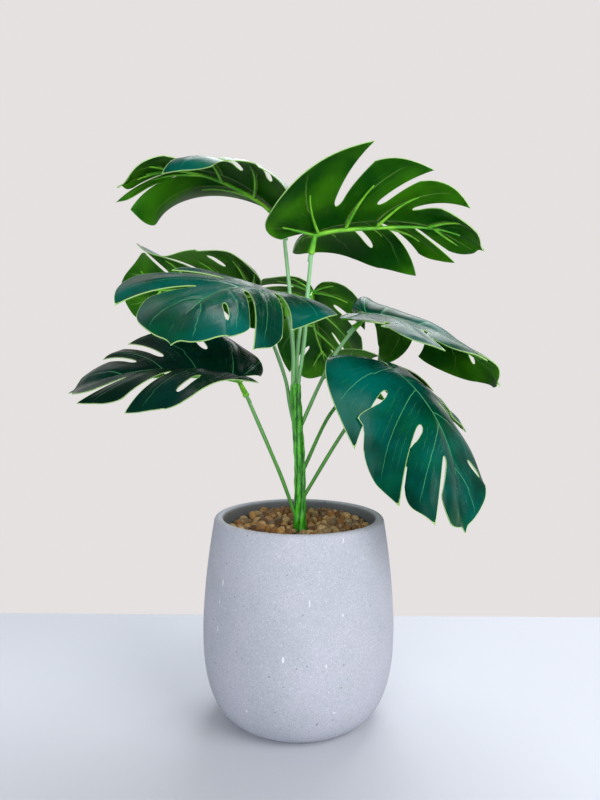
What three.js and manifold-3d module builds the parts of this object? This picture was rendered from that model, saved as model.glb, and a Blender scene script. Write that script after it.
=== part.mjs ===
// A made monstera bush in a round concrete pot. Millimetres, +Z up, +Y away from the viewer.
// The origin is the middle of the pot's flat foot, on the surface that it stands on.
import * as THREE from 'three';
import { mergeVertices } from 'three/addons/utils/BufferGeometryUtils.js';
import Module from 'manifold-3d';

const wasm = await Module();
wasm.setup();

// ---- driving dimensions -------------------------------------------------------------------

const CLEARANCE = 0.3; // left between two pieces that touch
const SPECK = 1; // widest pocket of trapped air that is filled
const WELD = 0.0001; // points closer than this are one point
const POINT_GRID = 0.002; // leaf points in one cell of this grid are one point

const POT = {
  height: 158,
  footRadius: 41,
  widestRadius: 75,
  widestHeight: 70,
  rimRadius: 66,
  wall: 7.5,
  floor: 10,
  lowerFullness: 2.4, // how square the belly turns into the foot
  upperFullness: 1.7, // how square the belly turns into the rim
  facets: 28,
  outerHeights: [0, 4, 12, 26, 46, 70, 100, 130], // rings of the outer wall below the rim
  innerHeights: [22, 45, 75, 105], // rings of the inner wall between the floor and the filling
};

const FILL = {
  blockTop: 130,
  gravelTop: 145,
  gravelMound: 1.5, // the middle stands this much higher than the edge
  pebbleRise: 1.2,
  pebblePitch: 8,
  pebbleShift: 1, // moves the pebble pattern off the axis
  rings: 6,
  wellRadius: 5.3,
  wellDepth: 30,
};

const TRUNK = {
  footHeight: 101,
  topHeight: 262,
  radius: 3.9,
  stems: 5, // lobes of the fused bundle
  lobeDepth: 0.09, // as a share of the radius
  twist: 150, // degrees over the whole height
  facets: 12,
  rings: 14,
};
// Sideways sway of the trunk's middle line, from foot to top: x against height.
const TRUNK_SWAY = [[101, 0.4], [150, 0.5], [178, 0.8], [198, 0.2], [230, -2.0], [262, -3.7]];

const STALK = { radius: 1.5, facets: 6, steps: 12, approach: 6 };

// The collar under each leaf that the stalk pushes into.
const SOCKET = {
  length: 13,
  mouthRadius: 2.6,
  neckRadius: 1.7,
  crown: 0.9,
  crownRadius: 0.8,
  boreEnd: 6.6,
  facets: 6,
};

const BLADE = {
  thickness: 0.7,
  rows: 5,
  columnStep: 0.13,
  shoulderColumns: [0.05, 0.2], // more columns across a lobe, for its rounded shoulder
  columnGap: 0.012, // such a column is left out this close to another
};

// The moulded frame under each leaf: a spine under the midrib and a rib under each lobe.
const RIB = {
  hubRadius: 1.6,
  bossRadius: 2.2,
  spineTip: 0.5,
  spineReach: 0.87, // share of the midrib
  sideRadius: 1,
  sideTip: 0.4,
  sideRows: 3,
  firstLobe: [0.3, 0.75], // where the two ribs of the first lobe run across it
  hubHang: 2, // how far the spine hangs clear of the blade at the stalk
  mostHang: 5,
  mostHangAt: 0.35, // share of the midrib
  facets: 4,
};

// ---- form of a leaf -----------------------------------------------------------------------
// Each half of a leaf is a fan of veins. q runs from 0 at the notch beside the stalk to 1 at the
// tip, and t from 0 on the midrib to 1 on the margin. Angles are measured from the tip direction.

const VEIN_ORIGIN = [0, 0, 0.02, 0.14, 0.32, 0.52, 0.7, 0.86]; // share of the midrib
const VEIN_ANGLE = [158, 126, 97, 75, 60, 49, 38, 0];
const VEIN_LENGTH = [0.2, 0.4, 0.49, 0.52, 0.5, 0.44, 0.34, 0.18]; // share of the midrib
const VEIN_SWEEP = [26, 30, 28, 26, 24, 20, 16, 0]; // degrees a vein bends forward on its way out
const STATIONS = [0.12, 0.45, 0.85]; // where a half's base, middle and tip values hold
const TIP_FADE = 0.12; // the halves come together within this much q of the tip
const TIP_MEAN = 0.15; // within this much they also take on each other's curl and reach
const DRIP = 0.2; // how much longer the leaf's very tip is
const DRIP_WIDTH = 0.05;
const LOBE_ONSET = 0.34; // lobes go their own ways beyond this t
const LIFT_POWER = 1.3;
const SHOULDER = 0.3; // how much shorter a lobe is at its corner towards the stalk
const SHOULDER_WIDTH = 0.5; // share of the lobe that this rounded corner takes
const POINTED_POWER = 4;
const LAST_LOBE = 3;
const MIDRIB_STEPS = 24; // steps in adding up the midrib's curve
const VEIN_STEPS = 10;

const HALF = {
  fold: [0, 0, 0], // base, middle, tip: lift of the half about the midrib, degrees
  curl: [-30, -30, -10], // bend of the half on its way out to the margin, degrees
  reach: [1, 1.05, 1.05, 0.92], // length of each lobe against the fan
  lift: [0, 0, 0, 0], // extra bend of each lobe
  turn: [0, 0, 0], // turn of the veins away from the fan's own angles, degrees
  cuts: [0.38, 0.55, 0.72], // q of the three cuts between the four lobes
  roots: [0.33, 0.33, 0.33], // t where each cut starts
  holes: [], // which cuts close again before the margin
  gape: [0.01, 0.01, 0.01], // how much wider each cut is at the margin
  point: [0.08, 0.08, 0.08, 0], // how much longer each lobe is at its corner towards the tip
  cutWidth: 0.014, // half the width of a cut, in q
};
const LEAST_CUT = 0.006; // half the width of a cut whose lobes lie side by side
const HOLE_START = 0.45;
const HOLE_END = 0.8;
const CUT_EASE = 0.1; // a cut reaches its full width this far beyond its root

// hub: where the stalk meets the leaf; heading, rise and roll: how the midrib leaves the hub;
// droop and bend: how far it turns downward and sideways by the tip. Degrees and millimetres.
const LEAVES = [
  {
    name: 'top_left',
    hub: [-17, 25, 395],
    heading: 212,
    rise: 45,
    roll: 5,
    droop: 80,
    bend: -5,
    length: 136,
    left: {
      fold: [5, 10, 5],
      curl: [-40, -15, 10],
      lift: [0, -10, -38, 0],
      turn: [-20, -5, 5],
      cuts: [0.42, 0.54, 0.75],
      holes: [0],
      reach: [0.85, 1, 1, 0.85],
    },
    right: {
      fold: [25, -5, -20],
      curl: [-5, -28, -5],
      turn: [-20, -40, -20],
      cuts: [0.18, 0.66, 0.8],
      reach: [1, 1.45, 1.15, 0.9],
      point: [0.08, -0.12, 0.08, 0],
      gape: [0.01, -0.05, 0.01],
    },
    stalk: [[-3.9, 2.1, 259], [-8.5, 11, 331], [-13, 20, 378]],
  },
  {
    name: 'top_right',
    hub: [9, -22, 375],
    heading: -12,
    rise: 17,
    roll: 5,
    droop: 42,
    bend: 18,
    length: 125,
    left: {
      fold: [25, 25, -20],
      curl: [-35, -65, 5],
      cuts: [0.43, 0.58, 0.74],
      holes: [0],
      roots: [0.33, 0.2, 0.2],
      reach: [1.15, 1.15, 1, 0.9],
    },
    right: {
      fold: [15, 20, 25],
      curl: [-20, 15, -40],
      turn: [4, -8, 0],
      cuts: [0.4, 0.55, 0.68],
      reach: [1.12, 1.1, 1.15, 0.8],
      point: [0.2, 0.08, 0.08, 0],
      gape: [0.01, -0.01, 0.01],
    },
    stalk: [[-1.6, -1.2, 259], [3.2, -5, 298], [5, -11, 328], [7.5, -19, 359]],
  },
  {
    name: 'back_left',
    hub: [-41, 38, 338],
    heading: 148,
    rise: 5,
    roll: -60,
    droop: 15,
    bend: 0,
    length: 132,
    left: {
      fold: [-15, -25, 5],
      curl: [-35, -20, 50],
      cuts: [0.33, 0.48, 0.71],
      holes: [0],
      reach: [0.85, 0.85, 1, 1],
    },
    right: {
      fold: [45, 45, 15],
      curl: [-20, -20, -20],
      reach: [0.65, 0.6, 0.8, 1],
    },
    stalk: [[-2.5, 1, 220], [-8, 4, 245], [-11, 7, 262], [-20, 14, 288]],
  },
  {
    name: 'front',
    hub: [-12, -26, 328],
    heading: 226,
    rise: 10,
    roll: -7,
    droop: 50,
    bend: 30,
    length: 137,
    left: {
      fold: [-10, -20, -5],
      curl: [-30, -35, -5],
      turn: [-5, 0, 0],
      cuts: [0.44, 0.61, 0.76],
      holes: [2],
      roots: [0.2, 0.2, 0.33],
      reach: [0.85, 1.1, 1.15, 1.1],
    },
    right: {
      fold: [0, 25, 15],
      curl: [-30, 0, -10],
      cuts: [0.35, 0.5, 0.67],
      reach: [1, 0.85, 1.25, 0.95],
      point: [0.08, 0.08, -0.05, 0],
    },
    stalk: [[-5.6, -1.2, 259], [-5.6, -6, 285], [-7.5, -14, 305]],
  },
  {
    name: 'low_left',
    hub: [-47, 7, 266],
    heading: 186,
    rise: 15,
    roll: 15,
    droop: 40,
    bend: 0,
    length: 132,
    left: {
      fold: [20, 20, -5],
      curl: [-10, -50, 5],
      turn: [-25, -5, 0],
      cuts: [0.42, 0.56, 0.75],
      holes: [0],
      reach: [1, 1.1, 1.05, 0.92],
    },
    right: {
      fold: [30, 20, 20],
      curl: [-45, 0, -10],
      turn: [-12, 0, 0],
      cuts: [0.44, 0.62, 0.73],
      holes: [0],
    },
    stalk: [[0, -1, 149], [-13.7, 0, 186.5], [-23.3, 1, 209], [-41, 5, 249]],
  },
  {
    name: 'back',
    hub: [12, 88, 343],
    heading: 85,
    rise: -35,
    roll: -25,
    droop: -5,
    bend: -5,
    length: 130,
    left: {
      fold: [-10, 15, -25],
      curl: [-35, -25, -35],
      cuts: [0.32, 0.44, 0.75],
      reach: [0.8, 1.05, 1, 1],
    },
    right: {
      fold: [5, -15, -10],
      curl: [-15, -10, -25],
      cuts: [0.32, 0.54, 0.71],
      reach: [0.85, 1, 1, 1],
    },
    stalk: [[-3, 2, 234], [-3, 12, 268], [-1, 28, 300], [5, 62, 328]],
  },
  {
    name: 'right',
    hub: [52, 17, 318],
    heading: -24,
    rise: -5,
    roll: -5,
    droop: 40,
    bend: 0,
    length: 113,
    left: {
      fold: [55, 30, 10],
      curl: [-75, -115, -30],
      turn: [10, 10, 0],
      cuts: [0.3, 0.5, 0.74],
      holes: [0, 2],
      reach: [1.35, 1.45, 1.45, 1.15],
      gape: [0.01, 0.03, 0.01],
    },
    right: {
      fold: [-10, -5, 15],
      curl: [0, 0, 10],
      cuts: [0.43, 0.58, 0.74],
      roots: [0.5, 0.5, 0.5],
      reach: [0.6, 1.1, 1.15, 1.05],
      gape: [-0.05, -0.05, -0.05],
    },
    stalk: [[-0.4, 1.2, 225], [15.5, 5, 261], [28.5, 10, 286], [43, 15, 306]],
  },
  {
    name: 'low_right',
    hub: [69, -4, 276],
    heading: -42,
    rise: -28,
    roll: 5,
    droop: 60,
    bend: -5,
    length: 135,
    left: {
      curl: [-30, -30, 25],
      cuts: [0.35, 0.5, 0.74],
      holes: [2],
      reach: [1, 0.9, 0.8, 0.85],
    },
    right: {
      fold: [-5, -25, 10],
      curl: [-10, -30, 15],
      lift: [0, 15, 0, -15],
      cuts: [0.4, 0.6, 0.75],
      reach: [1.05, 1.25, 1.25, 1.05],
      gape: [-0.05, -0.04, 0],
    },
    stalk: [[2, 0, 170], [32, -2, 221], [57, -4, 258]],
  },
  {
    name: 'behind_right',
    hub: [48, 82, 266],
    heading: -12,
    rise: -2,
    roll: 0,
    droop: 42,
    bend: 0,
    length: 108,
    left: {
      fold: [-5, -5, 0],
      curl: [-30, -30, -20],
    },
    right: {
      fold: [35, 30, 10],
      curl: [-10, -15, -15],
      cuts: [0.37, 0.58, 0.72],
    },
    stalk: [[1.5, 1, 190], [22, 20, 232], [38, 46, 250]],
  },
];

// ---- small tools --------------------------------------------------------------------------

const rad = THREE.MathUtils.degToRad;
const clamp = THREE.MathUtils.clamp;
const mix = THREE.MathUtils.lerp;
const ease = (x) => THREE.MathUtils.smoothstep(x, 0, 1);

// A smooth curve through evenly spaced values, read at x from 0 to 1.
function through(values, x) {
  const last = values.length - 1;
  const place = clamp(x, 0, 1) * last;
  const i = Math.min(Math.floor(place), last - 1);
  const f = place - i;
  const b = values[i];
  const c = values[i + 1];
  const a = i === 0 ? 2 * b - c : values[i - 1];
  const d = i === last - 1 ? 2 * c - b : values[i + 2];
  return 0.5 * (2 * b + (c - a) * f + (2 * a - 5 * b + 4 * c - d) * f * f + (3 * b - a - 3 * c + d) * f ** 3);
}

// Straight lines through pairs of (x, y), read at x.
function along(pairs, x) {
  if (x <= pairs[0][0]) return pairs[0][1];
  for (let i = 1; i < pairs.length; i += 1) {
    const [x0, y0] = pairs[i - 1];
    const [x1, y1] = pairs[i];
    if (x <= x1) return y0 + ((y1 - y0) * (x - x0)) / (x1 - x0);
  }
  return pairs[pairs.length - 1][1];
}

// Eases from one station's value to the next, and holds the first and last beyond them.
function stationValue(values, q) {
  const i = q < STATIONS[1] ? 0 : 1;
  return mix(values[i], values[i + 1], ease((q - STATIONS[i]) / (STATIONS[i + 1] - STATIONS[i])));
}

function meshGeometry(points, faces) {
  const geometry = new THREE.BufferGeometry();
  geometry.setAttribute('position', new THREE.Float32BufferAttribute(points.flatMap((p) => p.toArray()), 3));
  geometry.setIndex(faces.flat());
  return geometry;
}

// A closed body through rings of points, with a fan over each end.
function loft(rings) {
  const count = rings[0].length;
  const points = rings.flat();
  const faces = [];
  for (let r = 0; r < rings.length - 1; r += 1) {
    for (let i = 0; i < count; i += 1) {
      const j = (i + 1) % count;
      const a = r * count + i;
      const b = r * count + j;
      faces.push([a, b, b + count], [a, b + count, a + count]);
    }
  }
  const top = (rings.length - 1) * count;
  for (let i = 1; i < count - 1; i += 1) {
    faces.push([0, i + 1, i], [top, top + i, top + i + 1]);
  }
  return meshGeometry(points, faces);
}

function ringAround(centre, across, up, radius, facets) {
  return Array.from({ length: facets }, (_, i) => {
    const angle = (i / facets) * 2 * Math.PI;
    return centre.clone()
      .addScaledVector(up, Math.cos(angle) * radius)
      .addScaledVector(across, Math.sin(angle) * radius);
  });
}

// A tapered rod along a chain of points; a facet edge of the rod runs along the given up side.
function rod(path, ups, radii, facets) {
  const rings = path.map((point, i) => {
    const before = path[Math.max(i - 1, 0)];
    const after = path[Math.min(i + 1, path.length - 1)];
    const forward = after.clone().sub(before).normalize();
    const up = ups[i].clone().addScaledVector(forward, -ups[i].dot(forward)).normalize();
    return ringAround(point, new THREE.Vector3().crossVectors(forward, up), up, radii[i], facets);
  });
  return loft(rings);
}

function toSolid(source) {
  const bare = source.clone();
  bare.deleteAttribute('normal');
  bare.deleteAttribute('uv');
  const merged = mergeVertices(bare, WELD);
  const solid = new wasm.Manifold(new wasm.Mesh({
    numProp: 3,
    vertProperties: new Float32Array(merged.attributes.position.array),
    triVerts: new Uint32Array(merged.index.array),
  }));
  return solid;
}

// The shells of a mesh, each a list of vertex numbers, three to a face.
function shellsOf(triangles, vertexCount) {
  const parent = Array.from({ length: vertexCount }, (_, i) => i);
  const rootOf = (i) => {
    let root = i;
    while (parent[root] !== root) root = parent[root];
    parent[i] = root;
    return root;
  };
  for (let i = 0; i < triangles.length; i += 3) {
    parent[rootOf(triangles[i + 1])] = rootOf(triangles[i]);
    parent[rootOf(triangles[i + 2])] = rootOf(triangles[i]);
  }
  const shells = new Map();
  for (let i = 0; i < triangles.length; i += 3) {
    const root = rootOf(triangles[i]);
    if (!shells.has(root)) shells.set(root, []);
    shells.get(root).push(triangles[i], triangles[i + 1], triangles[i + 2]);
  }
  return [...shells.values()].sort((a, b) => b.length - a.length);
}

function widthOf(shell, vertices) {
  const box = new THREE.Box3();
  for (const i of shell) box.expandByPoint(new THREE.Vector3().fromArray(vertices, i * 3));
  return box.getSize(new THREE.Vector3()).length();
}

// Rods that cross can shut in a speck of air, which is filled. Anything larger stays an error.
function withoutSpecks(mesh) {
  const [body, ...specks] = shellsOf(mesh.triVerts, mesh.vertProperties.length / 3);
  const largest = Math.max(0, ...specks.map((shell) => widthOf(shell, mesh.vertProperties)));
  if (largest > SPECK) throw new Error(`a loose shell ${largest.toFixed(2)} mm across`);
  return body;
}

function fromSolid(solid) {
  const mesh = solid.getMesh();
  const geometry = new THREE.BufferGeometry();
  geometry.setAttribute('position', new THREE.BufferAttribute(new Float32Array(mesh.vertProperties), 3));
  geometry.setIndex(withoutSpecks(mesh));
  return geometry;
}

// ---- pot, filler and gravel ---------------------------------------------------------------

function potOuterRadius(z) {
  const { widestRadius, widestHeight, lowerFullness, upperFullness } = POT;
  if (z <= widestHeight) {
    const rise = 1 - (1 - z / widestHeight) ** lowerFullness;
    return mix(POT.footRadius, widestRadius, rise ** (1 / lowerFullness));
  }
  const share = (z - widestHeight) / (POT.height - widestHeight);
  return mix(widestRadius, POT.rimRadius, share ** upperFullness);
}

// The inner wall as a chain of radius and height, which the filler and the gravel follow too.
function innerWall() {
  const top = POT.height - POT.wall / 2;
  const heights = [POT.floor, ...POT.innerHeights, FILL.blockTop, FILL.gravelTop, top];
  return heights.map((z) => [z, potOuterRadius(z) - POT.wall]);
}

const lathe = (profile) => new THREE.LatheGeometry(
  profile.map(([radius, z]) => new THREE.Vector2(radius, z)),
  POT.facets,
).rotateX(Math.PI / 2);

function potGeometry() {
  const rimCentre = POT.height - POT.wall / 2;
  const outer = [...POT.outerHeights, rimCentre].map((z) => [potOuterRadius(z), z]);
  const rimMiddle = potOuterRadius(rimCentre) - POT.wall / 2;
  const rim = [45, 90, 135].map((angle) => [
    rimMiddle + (Math.cos(rad(angle)) * POT.wall) / 2,
    rimCentre + (Math.sin(rad(angle)) * POT.wall) / 2,
  ]);
  const inner = innerWall().reverse().map(([z, radius]) => [radius, z]);
  return lathe([[0, 0], ...outer, ...rim, ...inner, [0, POT.floor]]);
}

function wallBetween(low, high) {
  const wall = innerWall();
  const between = wall.map(([z]) => z).filter((z) => z > low && z < high);
  return [low, ...between, high].map((z) => [along(wall, z) - CLEARANCE, z]);
}

function fillerGeometry() {
  const top = FILL.blockTop - CLEARANCE;
  const side = wallBetween(POT.floor + CLEARANCE, top);
  const well = [[FILL.wellRadius, top], [FILL.wellRadius, top - FILL.wellDepth], [0, top - FILL.wellDepth]];
  return lathe([[0, POT.floor + CLEARANCE], ...side, ...well]);
}

function pebbleHeight(x, y) {
  const pitch = Math.PI / FILL.pebblePitch;
  return FILL.pebbleRise * Math.abs(Math.sin((x + FILL.pebbleShift) * pitch) * Math.cos(y * pitch));
}

function gravelGeometry() {
  const [[edgeRadius]] = wallBetween(FILL.gravelTop, FILL.gravelTop + 1);
  const side = wallBetween(FILL.blockTop, FILL.gravelTop);
  const surface = Array.from({ length: FILL.rings }, (_, i) => {
    const share = (i + 1) / (FILL.rings + 1);
    return [edgeRadius + (FILL.wellRadius - edgeRadius) * share, FILL.gravelTop + FILL.gravelMound * share];
  });
  const mouth = [FILL.wellRadius, FILL.gravelTop + FILL.gravelMound];
  const bottom = [FILL.wellRadius, FILL.blockTop];
  const geometry = lathe([bottom, ...side, ...surface, mouth, bottom]);
  const position = geometry.attributes.position;
  for (let i = 0; i < position.count; i += 1) {
    const [x, y, z] = [position.getX(i), position.getY(i), position.getZ(i)];
    const inRim = z > FILL.gravelTop + CLEARANCE / 2;
    const inWell = Math.hypot(x, y) < FILL.wellRadius + CLEARANCE / 2;
    if (inRim && !inWell) position.setZ(i, z + pebbleHeight(x, y));
  }
  return geometry;
}

// ---- trunk and stalks ---------------------------------------------------------------------

// extra thickens the trunk, for cutting the stalks back from it.
function trunkGeometry(extra) {
  const rings = Array.from({ length: TRUNK.rings + 1 }, (_, r) => {
    const share = r / TRUNK.rings;
    const z = mix(TRUNK.footHeight, TRUNK.topHeight, share) + (r === TRUNK.rings ? extra : 0);
    return Array.from({ length: TRUNK.facets }, (__, i) => {
      const angle = (i / TRUNK.facets) * 2 * Math.PI;
      const lobes = Math.cos(TRUNK.stems * (angle + rad(TRUNK.twist) * share));
      const radius = TRUNK.radius * (1 + TRUNK.lobeDepth * lobes) + extra;
      return new THREE.Vector3(along(TRUNK_SWAY, z) + Math.cos(angle) * radius, Math.sin(angle) * radius, z);
    });
  });
  return loft(rings);
}

function underHub(leaf) {
  const { normal } = midribFrame(leaf, 0);
  const drop = BLADE.thickness / 2 + CLEARANCE + RIB.hubRadius + RIB.hubHang;
  const seat = new THREE.Vector3(...leaf.hub).addScaledVector(normal, -drop);
  const boss = seat.clone().addScaledVector(normal, RIB.hubRadius - RIB.bossRadius);
  return { seat, boss, normal };
}

// The way the stalk points where it runs into the socket.
function socketAxis(leaf) {
  const last = new THREE.Vector3(...leaf.stalk[leaf.stalk.length - 1]);
  return underHub(leaf).seat.sub(last).normalize();
}

function stalkGeometry(leaf) {
  const axis = socketAxis(leaf);
  const { seat } = underHub(leaf);
  const end = seat.clone().addScaledVector(axis, -SOCKET.boreEnd - CLEARANCE);
  const mouth = seat.clone().addScaledVector(axis, -SOCKET.length);
  const approach = seat.clone().addScaledVector(axis, -SOCKET.length - STALK.approach);
  const points = leaf.stalk.map((p) => new THREE.Vector3(...p));
  const path = new THREE.CatmullRomCurve3([...points, approach, mouth, end]);
  const section = new THREE.Shape(Array.from({ length: STALK.facets }, (_, i) => {
    const angle = (i / STALK.facets) * 2 * Math.PI;
    return new THREE.Vector2(Math.cos(angle) * STALK.radius, Math.sin(angle) * STALK.radius);
  }));
  const tube = new THREE.ExtrudeGeometry(section, { steps: STALK.steps, extrudePath: path });
  const seated = toSolid(tube).subtract(toSolid(trunkGeometry(CLEARANCE)));
  return fromSolid(seated);
}

// ---- leaf surface -------------------------------------------------------------------------

function midribFrame(leaf, u) {
  const heading = rad(leaf.heading);
  const rise = rad(leaf.rise);
  const roll = rad(leaf.roll);
  const level = new THREE.Vector3(Math.cos(heading), Math.sin(heading), 0);
  const start = level.clone().multiplyScalar(Math.cos(rise)).setZ(Math.sin(rise));
  const upright = level.clone().multiplyScalar(-Math.sin(rise)).setZ(Math.cos(rise));
  const aside = new THREE.Vector3().crossVectors(upright, start);
  const up = upright.multiplyScalar(Math.cos(roll)).addScaledVector(aside, Math.sin(roll));
  const left = new THREE.Vector3().crossVectors(up, start);
  const down = -rad(leaf.droop) * u;
  const turn = rad(leaf.bend) * u;
  const tangent = start.clone().multiplyScalar(Math.cos(down) * Math.cos(turn))
    .addScaledVector(left, Math.cos(down) * Math.sin(turn))
    .addScaledVector(up, Math.sin(down));
  const across = start.clone().multiplyScalar(-Math.sin(turn)).addScaledVector(left, Math.cos(turn));
  return { tangent, across, normal: new THREE.Vector3().crossVectors(tangent, across) };
}

function midribPoint(leaf, u) {
  const point = new THREE.Vector3(...leaf.hub);
  const step = u / MIDRIB_STEPS;
  for (let i = 0; i < MIDRIB_STEPS; i += 1) {
    point.addScaledVector(midribFrame(leaf, (i + 0.5) * step).tangent, leaf.length * step);
  }
  return point;
}

function cutLimits(half, cut) {
  const isHole = half.holes.includes(cut);
  return { root: isHole ? HOLE_START : half.roots[cut], close: isHole ? HOLE_END : Infinity };
}

// Lobes on both sides of a hole are one lobe. This gives the first and last of the joined ones.
function joinedLobes(half, lobe) {
  let first = lobe;
  let last = lobe;
  while (half.holes.includes(first - 1)) first -= 1;
  while (half.holes.includes(last)) last += 1;
  return { first, last };
}

function lobeValue(half, values, lobe) {
  const { first, last } = joinedLobes(half, lobe);
  const joined = values.slice(first, last + 1);
  return joined.reduce((sum, value) => sum + value, 0) / joined.length;
}

// Half the width of a cut at t, on its side towards the tip or towards the stalk.
function cutWidthAt(half, cut, t, towardsTip) {
  if (cut < 0 || cut >= LAST_LOBE) return 0;
  const { root, close } = cutLimits(half, cut);
  if (t <= root || t >= close) return 0;
  const opening = clamp((t - root) / CUT_EASE, 0, 1);
  const closing = clamp((close - t) / CUT_EASE, 0, 1);
  const width = half.cutWidth * Math.sqrt(1 - (1 - opening) ** 2) * Math.sqrt(1 - (1 - closing) ** 2);
  if (!towardsTip || close < 1) return width;
  return Math.max(width + half.gape[cut] * ease((t - root) / (1 - root)), LEAST_CUT);
}

// How far a lobe reaches at q: short at its shoulder and pointed beside the next cut.
function lobeReach(half, lobe, q) {
  const { first, last } = joinedLobes(half, lobe);
  const edges = [0, ...half.cuts, 1];
  const a = clamp((q - edges[first]) / (edges[last + 1] - edges[first]), 0, 1);
  const beforeRound = clamp(1 - a / SHOULDER_WIDTH, 0, 1);
  const shoulder = first === 0 ? 0 : SHOULDER * (1 - Math.sqrt(1 - beforeRound ** 2));
  const point = last === LAST_LOBE ? 0 : half.point[last] * a ** POINTED_POWER;
  return 1 - shoulder + point;
}

// Where along its veins a lobe starts to go its own way.
function lobeOnset(half, lobe) {
  const { first, last } = joinedLobes(half, lobe);
  const before = first > 0 ? half.roots[first - 1] : 0;
  const after = last < LAST_LOBE ? half.roots[last] : 0;
  return Math.max(LOBE_ONSET, before, after);
}

// The point at vein place q, t of one half: a walk outwards from the midrib along the vein.
function leafPoint(leaf, side, q, t, lobe) {
  const half = side > 0 ? leaf.left : leaf.right;
  const start = Math.max(through(VEIN_ORIGIN, q), 0);
  const { tangent, across, normal } = midribFrame(leaf, start);
  const awayFromTip = ease((1 - q) / TIP_FADE);
  const atTip = ease((q - 1 + TIP_MEAN) / TIP_MEAN);
  const towardsMean = (own, pick) => own + ((pick(leaf.left) + pick(leaf.right)) / 2 - own) * atTip;

  const fold = rad(stationValue(half.fold, q)) * awayFromTip;
  const curl = rad(towardsMean(stationValue(half.curl, q), (h) => h.curl[2]));
  const lift = rad(lobeValue(half, half.lift, lobe)) * awayFromTip;
  const reach = towardsMean(lobeValue(half, half.reach, lobe), (h) => h.reach[LAST_LOBE]);
  const onset = lobeOnset(half, lobe);
  const beyond = clamp((t - onset) / (1 - onset), 0, 1);
  const drip = 1 + DRIP * clamp(1 - (1 - q) / DRIP_WIDTH, 0, 1) ** 2;
  const distance = t * (1 + (reach * lobeReach(half, lobe, q) * drip - 1) * beyond);

  const outward = across.clone().multiplyScalar(side * Math.cos(fold));
  outward.addScaledVector(normal, Math.sin(fold));
  const upward = normal.clone().multiplyScalar(Math.cos(fold));
  upward.addScaledVector(across, -side * Math.sin(fold));
  const firstAngle = rad(through(VEIN_ANGLE, q) + stationValue(half.turn, q) * awayFromTip);
  const sweep = rad(through(VEIN_SWEEP, q));
  const droop = -rad(leaf.droop) * through(VEIN_LENGTH, q);
  const step = (distance * through(VEIN_LENGTH, q) * leaf.length) / VEIN_STEPS;
  const point = midribPoint(leaf, start);
  for (let i = 0; i < VEIN_STEPS; i += 1) {
    const s = (distance * (i + 0.5)) / VEIN_STEPS;
    const angle = firstAngle - sweep * s;
    const lifted = lift * Math.max((s - onset) / (1 - onset), 0) ** LIFT_POWER;
    const bend = droop * Math.cos(angle) ** 2 * s + curl * s + lifted;
    point.addScaledVector(tangent, Math.cos(bend) * Math.cos(angle) * step);
    point.addScaledVector(outward, Math.cos(bend) * Math.sin(angle) * step);
    point.addScaledVector(upward, Math.sin(bend) * step);
  }
  return point;
}

// Both halves use the same columns, so that they share their points along the midrib.
function columnsOf(leaf) {
  const cuts = [0, ...leaf.left.cuts, ...leaf.right.cuts, 1];
  const shoulders = [leaf.left, leaf.right].flatMap((half) => half.cuts.flatMap((cut, i) => (
    BLADE.shoulderColumns.map((share) => mix(cut, half.cuts[i + 1] ?? 1, share))
  )));
  const isApart = (q, others) => others.every((other) => Math.abs(other - q) > BLADE.columnGap);
  const added = shoulders.filter((q, i) => isApart(q, cuts) && isApart(q, shoulders.slice(0, i)));
  const fixed = [...cuts, ...added].sort((a, b) => a - b);
  const columns = [0];
  for (const q of fixed.slice(1)) {
    const from = columns[columns.length - 1];
    const pieces = Math.ceil((q - from) / BLADE.columnStep - WELD);
    for (let i = 1; i < pieces; i += 1) columns.push(from + ((q - from) * i) / pieces);
    if (q > from) columns.push(q);
  }
  return columns;
}

function leafSurface(leaf) {
  const columns = columnsOf(leaf);
  const points = [];
  const byName = new Map();
  const byPlace = new Map();
  const faces = [];
  const grid = new Map();

  function addPoint(name, point) {
    if (byName.has(name)) return byName.get(name);
    const place = point.toArray().map((v) => Math.round(v / POINT_GRID)).join();
    if (!byPlace.has(place)) {
      byPlace.set(place, points.length);
      points.push(point);
    }
    byName.set(name, byPlace.get(place));
    return byName.get(name);
  }

  function vertex(side, half, lobe, column, row) {
    const q = columns[column];
    const t = row / BLADE.rows;
    const edges = [0, ...half.cuts, 1];
    const low = edges[lobe];
    const high = edges[lobe + 1];
    const lowWidth = cutWidthAt(half, lobe - 1, t, true);
    const highWidth = cutWidthAt(half, lobe, t, false);
    const share = (q - low) / (high - low);
    const split = (q === low && lowWidth > 0) || (q === high && highWidth > 0);
    const placed = low + lowWidth + (high - highWidth - low - lowWidth) * share;
    const sideName = row === 0 || q === 1 ? 'both' : side;
    const name = `${sideName}/${column}/${row}/${split ? lobe : 'shared'}`;
    return addPoint(name, leafPoint(leaf, side, placed, t, lobe));
  }

  for (const side of [1, -1]) {
    const half = side > 0 ? leaf.left : leaf.right;
    const edges = [0, ...half.cuts, 1];
    for (let lobe = 0; lobe <= LAST_LOBE; lobe += 1) {
      const from = columns.indexOf(edges[lobe]);
      const to = columns.indexOf(edges[lobe + 1]);
      for (let c = from; c < to; c += 1) {
        for (let r = 0; r < BLADE.rows; r += 1) {
          const a = vertex(side, half, lobe, c, r);
          const b = vertex(side, half, lobe, c + 1, r);
          const d = vertex(side, half, lobe, c + 1, r + 1);
          const e = vertex(side, half, lobe, c, r + 1);
          grid.set(`${side}/${c}/${r}`, a);
          grid.set(`${side}/${c}/${r + 1}`, e);
          const pair = side > 0 ? [[a, b, d], [a, d, e]] : [[a, d, b], [a, e, d]];
          faces.push(...pair.filter(([i, j, k]) => i !== j && j !== k && k !== i));
        }
      }
    }
  }
  return { columns, points, faces, grid };
}

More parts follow.
